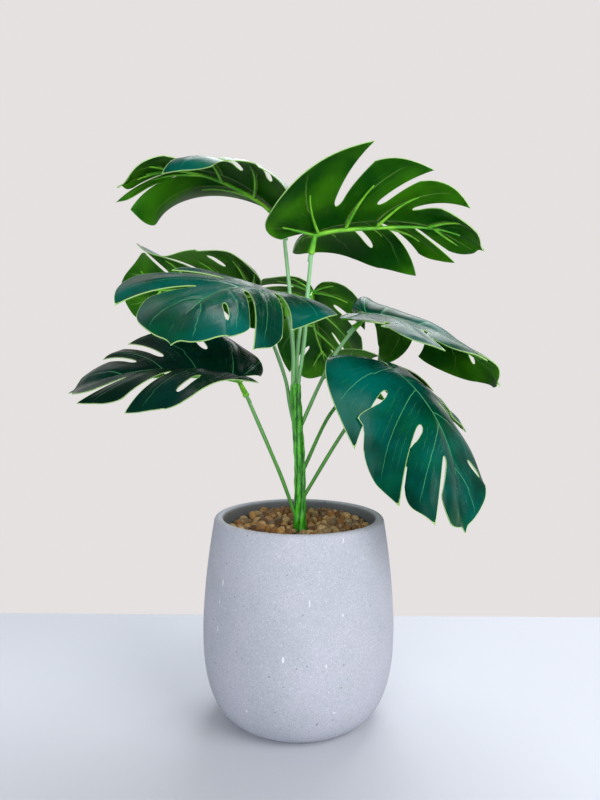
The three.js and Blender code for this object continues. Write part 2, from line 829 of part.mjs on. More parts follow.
function vertexNormals(points, faces) {
  const normals = points.map(() => new THREE.Vector3());
  for (const [i, j, k] of faces) {
    const edge = points[j].clone().sub(points[i]);
    const face = edge.cross(points[k].clone().sub(points[i]));
    for (const corner of [i, j, k]) normals[corner].add(face);
  }
  return normals.map((normal) => normal.normalize());
}

function bladeGeometry(surface) {
  const { points, faces } = surface;
  const normals = vertexNormals(points, faces);
  const count = points.length;
  const shifted = (distance) => points.map((p, i) => p.clone().addScaledVector(normals[i], distance));
  const top = shifted(BLADE.thickness / 2);
  const bottom = shifted(-BLADE.thickness / 2);
  const edges = new Set(faces.flatMap(([i, j, k]) => [`${i}/${j}`, `${j}/${k}`, `${k}/${i}`]));
  const walls = [];
  for (const edge of edges) {
    const [i, j] = edge.split('/').map(Number);
    if (!edges.has(`${j}/${i}`)) walls.push([j, i, i + count], [j, i + count, j + count]);
  }
  const under = faces.map(([i, j, k]) => [i + count, k + count, j + count]);
  return meshGeometry([...top, ...bottom], [...faces, ...under, ...walls]);
}

// ---- rib frame with its socket ------------------------------------------------------------

// How far the spine hangs clear of the blade at share u of the midrib.
function spineHang(u) {
  if (u < RIB.mostHangAt) return mix(RIB.hubHang, RIB.mostHang, ease(u / RIB.mostHangAt));
  return RIB.mostHang * (1 - ease((u - RIB.mostHangAt) / (RIB.spineReach - RIB.mostHangAt)));
}

const spineRadius = (u) => mix(RIB.hubRadius, RIB.spineTip, clamp(u / RIB.spineReach, 0, 1));

// A rod under a chain of the blade's points, with its middle line the given drops below their skin.
function rodUnder(surface, normals, chain, radii, drops) {
  const path = chain.map((index, i) => surface.points[index].clone()
    .addScaledVector(normals[index], -(BLADE.thickness / 2 + CLEARANCE + drops[i])));
  return rod(path, chain.map((index) => normals[index]), radii, RIB.facets);
}

function spineRod(surface, normals) {
  const chain = [];
  const shares = [];
  surface.columns.forEach((q, c) => {
    const index = surface.grid.get(`1/${c}/0`) ?? surface.grid.get(`1/${c - 1}/0`);
    const u = Math.max(through(VEIN_ORIGIN, q), 0);
    if (u > RIB.spineReach || chain[chain.length - 1] === index) return;
    chain.push(index);
    shares.push(u);
  });
  const radii = shares.map(spineRadius);
  return rodUnder(surface, normals, chain, radii, radii.map((radius, i) => radius + spineHang(shares[i])));
}

// The columns nearest to the two ribs of the first lobe and to the middle of each other lobe.
function sideRibColumns(half, columns) {
  const edges = [0, ...half.cuts, 1];
  const middles = edges.slice(2).map((edge, i) => (edges[i + 1] + edge) / 2);
  return [...RIB.firstLobe.map((share) => share * edges[1]), ...middles].map((place) => {
    const offsets = columns.map((q) => Math.abs(q - place));
    return offsets.indexOf(Math.min(...offsets));
  });
}

function sideRod(surface, normals, side, column) {
  const rows = Array.from({ length: RIB.sideRows + 1 }, (_, row) => row);
  const chain = rows.map((row) => surface.grid.get(`${side}/${column}/${row}`));
  const radii = rows.map((row) => mix(RIB.sideRadius, RIB.sideTip, row / RIB.sideRows));
  const start = clamp(through(VEIN_ORIGIN, surface.columns[column]), 0, RIB.spineReach);
  const drops = rows.map((row) => (
    (row === 0 ? spineRadius(start) : radii[row]) + spineHang(start) * (1 - ease(row / RIB.sideRows))
  ));
  return rodUnder(surface, normals, chain, radii, drops);
}

function socketSolid(leaf) {
  const { seat, normal } = underHub(leaf);
  const axis = socketAxis(leaf);
  const across = new THREE.Vector3().crossVectors(normal, axis).normalize();
  const up = new THREE.Vector3().crossVectors(axis, across).normalize();
  const ringAt = (distance, radius) => ringAround(
    seat.clone().addScaledVector(axis, -distance), across, up, radius, SOCKET.facets,
  );
  const body = toSolid(loft([
    ringAt(-SOCKET.crown, SOCKET.crownRadius),
    ringAt(0, SOCKET.neckRadius),
    ringAt(SOCKET.length, SOCKET.mouthRadius),
  ]));
  const boreRadius = STALK.radius + CLEARANCE;
  const bore = toSolid(loft([ringAt(SOCKET.boreEnd, boreRadius), ringAt(SOCKET.length + 1, boreRadius)]));
  return { body, bore };
}

function ribGeometry(leaf, surface) {
  const normals = vertexNormals(surface.points, surface.faces);
  const { body, bore } = socketSolid(leaf);
  const ball = new THREE.OctahedronGeometry(RIB.bossRadius, 1).translate(...underHub(leaf).boss.toArray());
  let frame = toSolid(spineRod(surface, normals)).add(body).add(toSolid(ball));
  for (const side of [1, -1]) {
    const half = side > 0 ? leaf.left : leaf.right;
    for (const column of sideRibColumns(half, surface.columns)) {
      frame = frame.add(toSolid(sideRod(surface, normals, side, column)));
    }
  }
  return fromSolid(frame.subtract(bore));
}

// ---- the object ---------------------------------------------------------------------------

const finish = (color, roughness) => () => new THREE.MeshStandardMaterial({ color, roughness, metalness: 0 });
const concrete = finish(0xb4b7bf, 0.85);
const foam = finish(0x2f2a24, 0.95);
const stone = finish(0x8f7358, 0.8);
const bark = finish(0x2c9018, 0.55);
const stalkGreen = finish(0x4fa63a, 0.5);
const leafGreen = finish(0x0b5a48, 0.4);
const ribGreen = finish(0x64b52a, 0.5);

const group = new THREE.Group();

function addPiece(name, geometry, material) {
  const mesh = new THREE.Mesh(geometry, material);
  mesh.name = name;
  group.add(mesh);
}

function addLeaf(settings) {
  const leaf = { ...settings, left: { ...HALF, ...settings.left }, right: { ...HALF, ...settings.right } };
  const surface = leafSurface(leaf);
  addPiece(`blade_${leaf.name}`, bladeGeometry(surface), leafGreen());
  addPiece(`ribs_${leaf.name}`, ribGeometry(leaf, surface), ribGreen());
  addPiece(`stalk_${leaf.name}`, stalkGeometry(leaf), stalkGreen());
}

addPiece('pot', potGeometry(), concrete());
addPiece('filler', fillerGeometry(), foam());
addPiece('gravel', gravelGeometry(), stone());
addPiece('trunk', trunkGeometry(0), bark());
LEAVES.forEach(addLeaf);

export default group;
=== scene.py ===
import math

import bpy
import numpy as np
from mathutils import Matrix, Vector


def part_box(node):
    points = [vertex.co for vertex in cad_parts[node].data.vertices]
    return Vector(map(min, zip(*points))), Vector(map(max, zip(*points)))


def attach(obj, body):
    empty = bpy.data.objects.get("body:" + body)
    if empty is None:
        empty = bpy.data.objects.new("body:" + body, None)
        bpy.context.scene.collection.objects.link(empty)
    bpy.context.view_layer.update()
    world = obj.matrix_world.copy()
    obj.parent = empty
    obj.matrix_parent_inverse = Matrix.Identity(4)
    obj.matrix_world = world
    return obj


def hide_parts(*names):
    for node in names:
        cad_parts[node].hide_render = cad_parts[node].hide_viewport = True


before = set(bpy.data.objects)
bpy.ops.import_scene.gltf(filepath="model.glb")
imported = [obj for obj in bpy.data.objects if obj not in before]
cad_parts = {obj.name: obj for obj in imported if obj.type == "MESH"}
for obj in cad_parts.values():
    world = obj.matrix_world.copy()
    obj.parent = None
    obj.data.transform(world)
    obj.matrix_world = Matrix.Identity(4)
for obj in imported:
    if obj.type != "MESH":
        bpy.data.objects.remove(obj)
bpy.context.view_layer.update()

MM = 0.001

# ---- sizes that repeat the frame's --------------------------------------------------------

POT = dict(
    height=158, foot_radius=41, widest_radius=75, widest_height=70, rim_radius=66, wall=7.5, floor=10,
    lower_fullness=2.4, upper_fullness=1.7,
)
GRAVEL = dict(top=145, mound=1.5, well=5.3, edge_radius=58)
TRUNK = dict(foot=101, top=262, radius=3.9, stems=5, twist=150)
TRUNK_SWAY = [(101, 0.4), (150, 0.5), (178, 0.8), (198, 0.2), (230, -2.0), (262, -3.7)]
STALK = dict(radius=1.5, approach=6)
SOCKET = dict(length=13, mouth_radius=2.6, neck_radius=1.7, bore=8)
BLADE_THICKNESS = 0.7
RIB = dict(
    hub_radius=1.8, spine_tip=0.6, spine_reach=0.87, side_radius=1.2, side_tip=0.5, side_reach=0.62,
    hub_hang=2, most_hang=5, most_hang_at=0.35, first_lobe=(0.3, 0.75),
)

# Form of a leaf: each half is a fan of veins. q runs from 0 at the notch beside the stalk to 1
# at the tip, and t from 0 on the midrib to 1 on the margin.
VEIN_ORIGIN = [0, 0, 0.02, 0.14, 0.32, 0.52, 0.7, 0.86]
VEIN_ANGLE = [158, 126, 97, 75, 60, 49, 38, 0]
VEIN_LENGTH = [0.2, 0.4, 0.49, 0.52, 0.5, 0.44, 0.34, 0.18]
VEIN_SWEEP = [26, 30, 28, 26, 24, 20, 16, 0]
STATIONS = [0.12, 0.45, 0.85]
TIP_FADE = 0.12
TIP_MEAN = 0.15
DRIP = 0.2
DRIP_WIDTH = 0.05
LOBE_ONSET = 0.34
LIFT_POWER = 1.3
SHOULDER = 0.3
SHOULDER_WIDTH = 0.5
POINTED_POWER = 4
LAST_LOBE = 3
MIDRIB_STEPS = 24
VEIN_STEPS = 10
HOLE_START = 0.45
HOLE_END = 0.8
CUT_EASE = 0.1

HALF = dict(
    fold=[0, 0, 0],
    curl=[-30, -30, -10],
    reach=[1, 1.05, 1.05, 0.92],
    lift=[0, 0, 0, 0],
    turn=[0, 0, 0],
    cuts=[0.38, 0.55, 0.72],
    roots=[0.33, 0.33, 0.33],
    holes=[],
    gape=[0.01, 0.01, 0.01],
    point=[0.08, 0.08, 0.08, 0],
    cut_width=0.014,
)

# How each leaf is placed and shaped. About half of these values are the rounded result of a fit to
# landmarks, and the rest were changed.
LEAVES = {
    "top_left": dict(
        hub=[-17, 25, 395], heading=212, rise=45, roll=5, droop=80, bend=-5, length=136,
        left=dict(fold=[5, 10, 5], curl=[-40, -15, 10], turn=[-20, -5, 5], cuts=[0.42, 0.54, 0.75],
                  holes=[0], reach=[0.85, 1, 1, 0.85], lift=[0, -10, -38, 0]),
        right=dict(fold=[25, -5, -20], curl=[-5, -28, -5], turn=[-20, -40, -20], cuts=[0.18, 0.66, 0.8],
                   reach=[1, 1.45, 1.15, 0.9], point=[0.08, -0.12, 0.08, 0], gape=[0.01, -0.05, 0.01]),
        stalk=[[-3.9, 2.1, 259], [-8.5, 11, 331], [-13, 20, 378]],
    ),
    "top_right": dict(
        hub=[9, -22, 375], heading=-12, rise=17, roll=5, droop=42, bend=18, length=125,
        left=dict(fold=[25, 25, -20], curl=[-35, -65, 5], cuts=[0.43, 0.58, 0.74], holes=[0],
                  roots=[0.33, 0.2, 0.2], reach=[1.15, 1.15, 1, 0.9]),
        right=dict(fold=[15, 20, 25], curl=[-20, 15, -40], turn=[4, -8, 0], cuts=[0.4, 0.55, 0.68],
                   reach=[1.12, 1.1, 1.15, 0.8], point=[0.2, 0.08, 0.08, 0], gape=[0.01, -0.01, 0.01]),
        stalk=[[-1.6, -1.2, 259], [3.2, -5, 298], [5, -11, 328], [7.5, -19, 359]],
    ),
    "back_left": dict(
        hub=[-41, 38, 338], heading=148, rise=5, roll=-60, droop=15, bend=0, length=132,
        left=dict(fold=[-15, -25, 5], curl=[-35, -20, 50], cuts=[0.33, 0.48, 0.71], holes=[0],
                  reach=[0.85, 0.85, 1, 1]),
        right=dict(fold=[45, 45, 15], curl=[-20, -20, -20], reach=[0.65, 0.6, 0.8, 1]),
        stalk=[[-2.5, 1, 220], [-8, 4, 245], [-11, 7, 262], [-20, 14, 288]],
    ),
    "front": dict(
        hub=[-12, -26, 328], heading=226, rise=10, roll=-7, droop=50, bend=30, length=137,
        left=dict(fold=[-10, -20, -5], curl=[-30, -35, -5], cuts=[0.44, 0.61, 0.76], holes=[2],
                  roots=[0.2, 0.2, 0.33], turn=[-5, 0, 0], reach=[0.85, 1.1, 1.15, 1.1]),
        right=dict(fold=[0, 25, 15], curl=[-30, 0, -10], cuts=[0.35, 0.5, 0.67],
                   reach=[1, 0.85, 1.25, 0.95], point=[0.08, 0.08, -0.05, 0]),
        stalk=[[-5.6, -1.2, 259], [-5.6, -6, 285], [-7.5, -14, 305]],
    ),
    "low_left": dict(
        # painted shade: this leaf's top is drawn much darker, as if in the shade of the leaf above it
        painted_light_level=0.25,
        hub=[-47, 7, 266], heading=186, rise=15, roll=15, droop=40, bend=0, length=132,
        left=dict(fold=[20, 20, -5], curl=[-10, -50, 5], turn=[-25, -5, 0], cuts=[0.42, 0.56, 0.75],
                  holes=[0], reach=[1, 1.1, 1.05, 0.92]),
        right=dict(fold=[30, 20, 20], curl=[-45, 0, -10], turn=[-12, 0, 0], cuts=[0.44, 0.62, 0.73],
                   holes=[0]),
        stalk=[[0, -1, 149], [-13.7, 0, 186.5], [-23.3, 1, 209], [-41, 5, 249]],
    ),
    "back": dict(
        hub=[12, 88, 343], heading=85, rise=-35, roll=-25, droop=-5, bend=-5, length=130,
        left=dict(fold=[-10, 15, -25], curl=[-35, -25, -35], cuts=[0.32, 0.44, 0.75],
                  reach=[0.8, 1.05, 1, 1]),
        right=dict(fold=[5, -15, -10], curl=[-15, -10, -25], cuts=[0.32, 0.54, 0.71],
                   reach=[0.85, 1, 1, 1]),
        stalk=[[-3, 2, 234], [-3, 12, 268], [-1, 28, 300], [5, 62, 328]],
    ),
    "right": dict(
        # painted shade: this leaf's top is drawn a little darker
        painted_light_level=0.8,
        hub=[52, 17, 318], heading=-24, rise=-5, roll=-5, droop=40, bend=0, length=113,
        left=dict(fold=[55, 30, 10], curl=[-75, -115, -30], turn=[10, 10, 0], cuts=[0.3, 0.5, 0.74],
                  holes=[0, 2], reach=[1.35, 1.45, 1.45, 1.15], gape=[0.01, 0.03, 0.01]),
        right=dict(fold=[-10, -5, 15], curl=[0, 0, 10], cuts=[0.43, 0.58, 0.74], roots=[0.5, 0.5, 0.5],
                   reach=[0.6, 1.1, 1.15, 1.05], gape=[-0.05, -0.05, -0.05]),
        stalk=[[-0.4, 1.2, 225], [15.5, 5, 261], [28.5, 10, 286], [43, 15, 306]],
    ),
    "low_right": dict(
        hub=[69, -4, 276], heading=-42, rise=-28, roll=5, droop=60, bend=-5, length=135,
        left=dict(curl=[-30, -30, 25], cuts=[0.35, 0.5, 0.74], holes=[2], reach=[1, 0.9, 0.8, 0.85]),
        right=dict(fold=[-5, -25, 10], curl=[-10, -30, 15], lift=[0, 15, 0, -15],
                   cuts=[0.4, 0.6, 0.75], reach=[1.05, 1.25, 1.25, 1.05], gape=[-0.05, -0.04, 0]),
        stalk=[[2, 0, 170], [32, -2, 221], [57, -4, 258]],
    ),
    "behind_right": dict(
        hub=[48, 82, 266], heading=-12, rise=-2, roll=0, droop=42, bend=0, length=108,
        left=dict(fold=[-5, -5, 0], curl=[-30, -30, -20]),
        right=dict(fold=[35, 30, 10], curl=[-10, -15, -15], cuts=[0.37, 0.58, 0.72]),
        stalk=[[1.5, 1, 190], [22, 20, 232], [38, 46, 250]],
    ),
}

# ---- sizes of the finish ------------------------------------------------------------------

ROWS = 26  # rows of the leaf mesh from midrib to margin, with more at the cut roots
LAST_ROW = 0.985  # one more row close to the margin
COLUMN_STEP = 0.012
CUT_ROWS = (0, 0.06, 0.2, 0.45, 0.75, 1)  # shares of a cut's rounded end that get a row
VEIN_CELLS = [2, 1, 1, 1]  # side veins in each lobe
VEIN_SHIFT = 0.16  # how far a lobe's one vein strays from its middle towards the margin
RELIEF = dict(  # of the pressed leaf: its veins sink, it swells between them, and its margin waves
    vein_depth=0.7, vein_width=1.6, vein_fade=0.75, midrib_depth=0.9, midrib_width=2.6,
    pillow=1.1, pillow_past_midrib=14, pillow_past_edge=9, start=4, wave=0.7, wave_rate=5.2,
)
SPINE_STEPS = 40
SIDE_RIB_STEPS = 22
SIDE_RIB_START = 0.02  # the t at which a side rib leaves the midrib
RIB_OVERLAP = 0.7  # how much of a rib's radius lies between its middle and the blade
SOCKET_CLEARANCE = 0.25  # between a stalk and its socket's mouth
STALK_STEPS = 70
STALK_WAVE = 0.04  # share of its radius by which a stalk thickens and thins
STALK_WAVE_RATE = 23
TRUNK_FORM = dict(  # shares of the trunk's radius, and heights in millimetres where its foot swells
    valley=0.8, ridge=0.36, ridge_power=0.6, long_lumps=0.05, short_lumps=0.04,
    hidden=0.86, shown=0.14, swelling=0.18, swelling_above=5, swelling_height=22, rise=8,
)
PEBBLES = dict(
    least_radius=2.5, most_radius=4.3, shapes=14, fullness=1.12, spacing=0.8, unevenness=1.2,
    layers=[(-3.2, 5000), (0.0, 9000)],  # the height and the number of tries of each layer
    slope=0.11,  # how much higher they lie for each millimetre towards the back
    bed_depth=3, bed_bottom=131,
)
PALEST_GAP = 0.1  # the tint below which the gravel is the shade between the pebbles

# ---- numbers for curves -------------------------------------------------------------------


def ease(x):
    x = np.clip(x, 0, 1)
    return x * x * (3 - 2 * x)


def through(values, x):
    """A smooth curve through evenly spaced values, read at x from 0 to 1."""
    values = np.asarray(values, float)
    last = len(values) - 1
    place = np.clip(x, 0, 1) * last
    i = np.minimum(place.astype(int), last - 1)
    f = place - i
    b, c = values[i], values[i + 1]
    a = np.where(i == 0, 2 * b - c, values[np.maximum(i - 1, 0)])
    d = np.where(i == last - 1, 2 * c - b, values[np.minimum(i + 2, last)])
    bend = (2 * a - 5 * b + 4 * c - d) * f**2
    return 0.5 * (2 * b + (c - a) * f + bend + (3 * b - a - 3 * c + d) * f**3)


def station_value(values, q):
    """Eases from one station's value to the next, and holds the first and last beyond them."""
    q = np.clip(q, STATIONS[0], STATIONS[-1])
    i = np.clip(np.searchsorted(STATIONS, q, side="right") - 1, 0, len(STATIONS) - 2)
    low, high = np.take(STATIONS, i), np.take(STATIONS, i + 1)
    share = ease((q - low) / (high - low))
    return np.take(values, i) * (1 - share) + np.take(values, i + 1) * share


def unit(v):
    return v / np.maximum(np.linalg.norm(v, axis=-1, keepdims=True), 1e-12)


def round_angles(facets):
    return np.arange(facets) / facets * 2 * math.pi


# ---- the leaf's surface -------------------------------------------------------------------


def midrib_frame(leaf, u):
    """Tangent, sideways and upward directions of the midrib at share u of its length."""
    heading, rise, roll = (math.radians(leaf[key]) for key in ("heading", "rise", "roll"))
    level = np.array([math.cos(heading), math.sin(heading), 0])
    start = level * math.cos(rise) + np.array([0, 0, math.sin(rise)])
    upright = -level * math.sin(rise) + np.array([0, 0, math.cos(rise)])
    aside = np.cross(upright, start)
    up = upright * math.cos(roll) + aside * math.sin(roll)
    left = np.cross(up, start)
    down = -np.radians(leaf["droop"]) * np.asarray(u, float)[..., None]
    turn = np.radians(leaf["bend"]) * np.asarray(u, float)[..., None]
    level_turn = np.cos(turn) * start + np.sin(turn) * left
    tangent = np.cos(down) * level_turn + np.sin(down) * up
    across = -np.sin(turn) * start + np.cos(turn) * left
    return tangent, across, np.cross(tangent, across)


def midrib_point(leaf, u):
    u = np.asarray(u, float)
    point = np.zeros(u.shape + (3,)) + np.array(leaf["hub"], float)
    step = u / MIDRIB_STEPS
    for i in range(MIDRIB_STEPS):
        point = point + midrib_frame(leaf, (i + 0.5) * step)[0] * (leaf["length"] * step)[..., None]
    return point


def cut_limits(half, cut):
    is_hole = cut in half["holes"]
    return (HOLE_START if is_hole else half["roots"][cut]), (HOLE_END if is_hole else math.inf)


def joined_lobes(half, lobe):
    """Lobes on both sides of a hole are one lobe: the first and last of the joined ones."""
    first = last = lobe
    while first - 1 in half["holes"]:
        first -= 1
    while last in half["holes"]:
        last += 1
    return first, last


def lobe_value(half, values, lobe):
    first, last = joined_lobes(half, lobe)
    return float(np.mean(values[first:last + 1]))


def cut_width(half, cut, t, towards_tip):
    """Half the width of a cut at t, in q, on its side towards the tip or the stalk."""
    t = np.asarray(t, float)
    if cut < 0 or cut >= LAST_LOBE:
        return np.zeros_like(t)
    root, close = cut_limits(half, cut)
    opening = np.clip((t - root) / CUT_EASE, 0, 1)
    closing = np.clip((close - t) / CUT_EASE, 0, 1)
    width = half["cut_width"] * np.sqrt(1 - (1 - opening) ** 2) * np.sqrt(1 - (1 - closing) ** 2)
    if towards_tip and math.isinf(close):
        width = width + half["gape"][cut] * ease((t - root) / (1 - root))
    return width


def lobe_reach(half, lobe, q):
    """How far a lobe reaches at q: short at its shoulder and pointed beside the next cut."""
    first, last = joined_lobes(half, lobe)
    edges = [0, *half["cuts"], 1]
    a = np.clip((q - edges[first]) / (edges[last + 1] - edges[first]), 0, 1)
    before_round = np.clip(1 - a / SHOULDER_WIDTH, 0, 1)
    shoulder = 0 if first == 0 else SHOULDER * (1 - np.sqrt(1 - before_round**2))
    point = 0 if last == LAST_LOBE else half["point"][last] * a**POINTED_POWER
    return 1 - shoulder + point


def lobe_onset(half, lobe):
    first, last = joined_lobes(half, lobe)
    before = half["roots"][first - 1] if first > 0 else 0
    after = half["roots"][last] if last < LAST_LOBE else 0
    return max(LOBE_ONSET, before, after)


def leaf_point(leaf, side, q, t, lobe):
    """Points at vein places q, t of one half: a walk outwards from the midrib along the vein."""
    half = leaf["left"] if side > 0 else leaf["right"]
    q, t = np.asarray(q, float), np.asarray(t, float)
    start = np.maximum(through(VEIN_ORIGIN, q), 0)
    tangent, across, normal = midrib_frame(leaf, start)
    away_from_tip = ease((1 - q) / TIP_FADE)
    at_tip = ease((q - 1 + TIP_MEAN) / TIP_MEAN)

    def towards_mean(own, key, index):
        mean = (leaf["left"][key][index] + leaf["right"][key][index]) / 2
        return own + (mean - own) * at_tip

    fold = np.radians(station_value(half["fold"], q)) * away_from_tip
    curl = np.radians(towards_mean(station_value(half["curl"], q), "curl", 2))
    lift = np.radians(lobe_value(half, half["lift"], lobe)) * away_from_tip
    reach = towards_mean(lobe_value(half, half["reach"], lobe), "reach", LAST_LOBE)
    onset = lobe_onset(half, lobe)
    beyond = np.clip((t - onset) / (1 - onset), 0, 1)
    drip = 1 + DRIP * np.clip(1 - (1 - q) / DRIP_WIDTH, 0, 1) ** 2
    distance = t * (1 + (reach * lobe_reach(half, lobe, q) * drip - 1) * beyond)

    cos_fold, sin_fold = np.cos(fold)[..., None], np.sin(fold)[..., None]
    outward = side * across * cos_fold + normal * sin_fold
    upward = normal * cos_fold - side * across * sin_fold
    first_angle = np.radians(through(VEIN_ANGLE, q) + station_value(half["turn"], q) * away_from_tip)
    sweep = np.radians(through(VEIN_SWEEP, q))
    droop = -np.radians(leaf["droop"]) * through(VEIN_LENGTH, q)
    step = (distance * through(VEIN_LENGTH, q) * leaf["length"] / VEIN_STEPS)[..., None]
    point = midrib_point(leaf, start)
    for i in range(VEIN_STEPS):
        s = distance * (i + 0.5) / VEIN_STEPS
        angle = first_angle - sweep * s
        lifted = lift * np.maximum((s - onset) / (1 - onset), 0) ** LIFT_POWER
        bend = (droop * np.cos(angle) ** 2 * s + curl * s + lifted)[..., None]
        angle = angle[..., None]
        point = point + tangent * np.cos(bend) * np.cos(angle) * step
        point = point + outward * np.cos(bend) * np.sin(angle) * step
        point = point + upward * np.sin(bend) * step
    return point


def full_leaf(name):
    settings = LEAVES[name]
    return dict(settings, left=dict(HALF, **settings["left"]), right=dict(HALF, **settings["right"]))


def leaf_columns(leaf):
    fixed = sorted({0.0, 1.0, *leaf["left"]["cuts"], *leaf["right"]["cuts"]})
    columns = [0.0]
    for low, high in zip(fixed, fixed[1:]):
        pieces = max(1, math.ceil((high - low) / COLUMN_STEP))
        columns += list(low + (high - low) * np.arange(1, pieces) / pieces) + [high]
    return np.array(columns)


def leaf_rows(leaf):
    rows = {LAST_ROW, *np.round(np.linspace(0, 1, ROWS + 1), 4)}
    for half in (leaf["left"], leaf["right"]):
        for cut in range(LAST_LOBE):
            root, close = cut_limits(half, cut)
            rows |= {round(root + CUT_EASE * share, 4) for share in CUT_ROWS}
            if not math.isinf(close):
                rows |= {round(close - CUT_EASE * share, 4) for share in CUT_ROWS}
    return np.array(sorted(row for row in rows if row <= 1))


def vein_phase(lobe, a, t):
    """Which vein cell a place across a lobe is in, as a number whose veins lie at 0.5, 1.5, ..."""
    if VEIN_CELLS[lobe] == 2:
        return 2 * a
    centre = 0.5 + VEIN_SHIFT * t**2
    return a ** (math.log(0.5) / np.log(centre))


def patch(leaf, side, lobe, columns, rows):
    """One lobe as a grid of points with what the finish needs to know at each of them."""
    half = leaf["left"] if side > 0 else leaf["right"]
    edges = [0, *half["cuts"], 1]
    low, high = edges[lobe], edges[lobe + 1]
    own = columns[(columns >= low - 1e-9) & (columns <= high + 1e-9)]
    share, t = np.meshgrid((own - low) / (high - low), rows, indexing="ij")
    low_width = cut_width(half, lobe - 1, t, True)
    high_width = cut_width(half, lobe, t, False)
    q = low + low_width + (high - high_width - low - low_width) * share
    points = leaf_point(leaf, side, q, t, lobe)
    across_mm = np.linalg.norm(np.gradient(points, axis=0), axis=-1)
    across_mm = across_mm / np.maximum(np.gradient(share, axis=0), 1e-9)
    along_mm = np.linalg.norm(np.diff(points, axis=1), axis=-1)
    from_midrib = np.concatenate([np.zeros((len(own), 1)), np.cumsum(along_mm, axis=1)], axis=1)
    phase = vein_phase(lobe, share, t)
    phase_rate = np.gradient(phase, axis=0) / np.maximum(np.gradient(share, axis=0), 1e-9)
    cell_mm = across_mm / np.maximum(phase_rate, 0.05)
    edge = from_midrib[:, -1:] - from_midrib
    for cut, distance in ((lobe - 1, share * across_mm), (lobe, (1 - share) * across_mm)):
        if 0 <= cut < LAST_LOBE:
            root, close = cut_limits(half, cut)
            length = from_midrib[:, -1:]
            beside = np.maximum(np.maximum(root + 0.02 - t, t - close + 0.02), 0) * length
            edge = np.minimum(edge, np.hypot(distance, beside))
    if lobe == 0:
        edge = np.minimum(edge, share * across_mm)
    return dict(points=points, t=t, mid=from_midrib, phase=phase, cell=cell_mm, edge=edge, side=side)


def weld(points, faces):
    """Joins points that coincide, and drops the faces that this closes."""
    key = np.round(points / 0.002).astype(np.int64)
    _, first, inverse = np.unique(key, axis=0, return_index=True, return_inverse=True)
    inverse = inverse.ravel()
    return points[first], inverse[faces], first


def point_normals(points, faces):
    corners = points[faces]
    normal = np.cross(corners[:, 2] - corners[:, 0], corners[:, 3] - corners[:, 1])
    total = np.zeros_like(points)
    for i in range(4):
        np.add.at(total, faces[:, i], normal)
    return unit(total)


def relief(p):
    """How far the pressed leaf rises at each point: grooves along its veins, pillows between."""
    r = RELIEF
    in_cell = p["phase"] % 1
    from_vein = np.abs(in_cell - 0.5) * p["cell"]
    fade = 1 - r["vein_fade"] * p["t"]
    groove = -r["vein_depth"] * np.exp(-((from_vein / r["vein_width"]) ** 2)) * fade
    pillow = r["pillow"] * np.sin(math.pi * in_cell) ** 2
    pillow = pillow * ease(p["mid"] / r["pillow_past_midrib"]) * ease(p["edge"] / r["pillow_past_edge"])
    midrib = -r["midrib_depth"] * np.exp(-((p["mid"] / r["midrib_width"]) ** 2))
    wave = r["wave"] * np.sin(p["phase"] * r["wave_rate"] + p["side"]) * p["t"] ** 4
    return (groove + pillow) * ease(p["mid"] / r["start"]) + midrib + wave


def keep_values(mesh, name, domain, values):
    """Stores a number for each point or corner of a mesh, which its material reads by name."""
    mesh.attributes.new(name, "FLOAT", domain).data.foreach_set("value", np.asarray(values, np.float32))


def blade_patches(leaf):
    """All lobes of a leaf as one set of points and faces, with six values at each point."""
    columns, rows = leaf_columns(leaf), leaf_rows(leaf)
    points, faces, values, base = [], [], [], 0
    for side in (1, -1):
        for lobe in range(LAST_LOBE + 1):
            p = patch(leaf, side, lobe, columns, rows)
            n, m = p["t"].shape
            index = base + np.arange(n * m).reshape(n, m)
            quads = np.stack([index[:-1, :-1], index[1:, :-1], index[1:, 1:], index[:-1, 1:]], -1)
            faces.append(quads.reshape(-1, 4)[:, ::side])
            points.append(p["points"].reshape(-1, 3))
            kept = [p["phase"], p["cell"], p["t"], side * p["mid"], p["edge"], relief(p)]
            values.append(np.stack([value.ravel() for value in kept], 1))
            base += n * m
    return np.concatenate(points), np.concatenate(faces), np.concatenate(values)


def outer_edges(welded, faces):
    """Edges with a face on one side only, each with the unwelded corners that it came from."""
    edges = {}
    for face, source in zip(welded, faces):
        for i in range(4):
            a, b = face[i], face[(i + 1) % 4]
            if a != b:
                edges[(a, b)] = (source[i], source[(i + 1) % 4])
    return {(a, b): corners for (a, b), corners in edges.items() if (b, a) not in edges}


def blade_polygons(welded, faces, count):
    """Polygons of the two skins and the rim, the source of each corner, and each one's slot."""
    polygons, corners, slots = [], [], []

    def add(polygon, sources, slot):
        kept = [i for i in range(len(polygon)) if polygon[i] != polygon[i - 1]]
        if len(kept) > 2:
            polygons.append([int(polygon[i]) for i in kept])
            corners.extend(sources[i] for i in kept)
            slots.append(slot)

    for face, source in zip(welded, faces):
        add(face, source, 0)
        add(face[::-1] + count, source[::-1], 1)
    for (a, b), (source_a, source_b) in outer_edges(welded, faces).items():
        add([b, a, a + count, b + count], [source_b, source_a, source_a, source_b], 2)
    return polygons, corners, slots


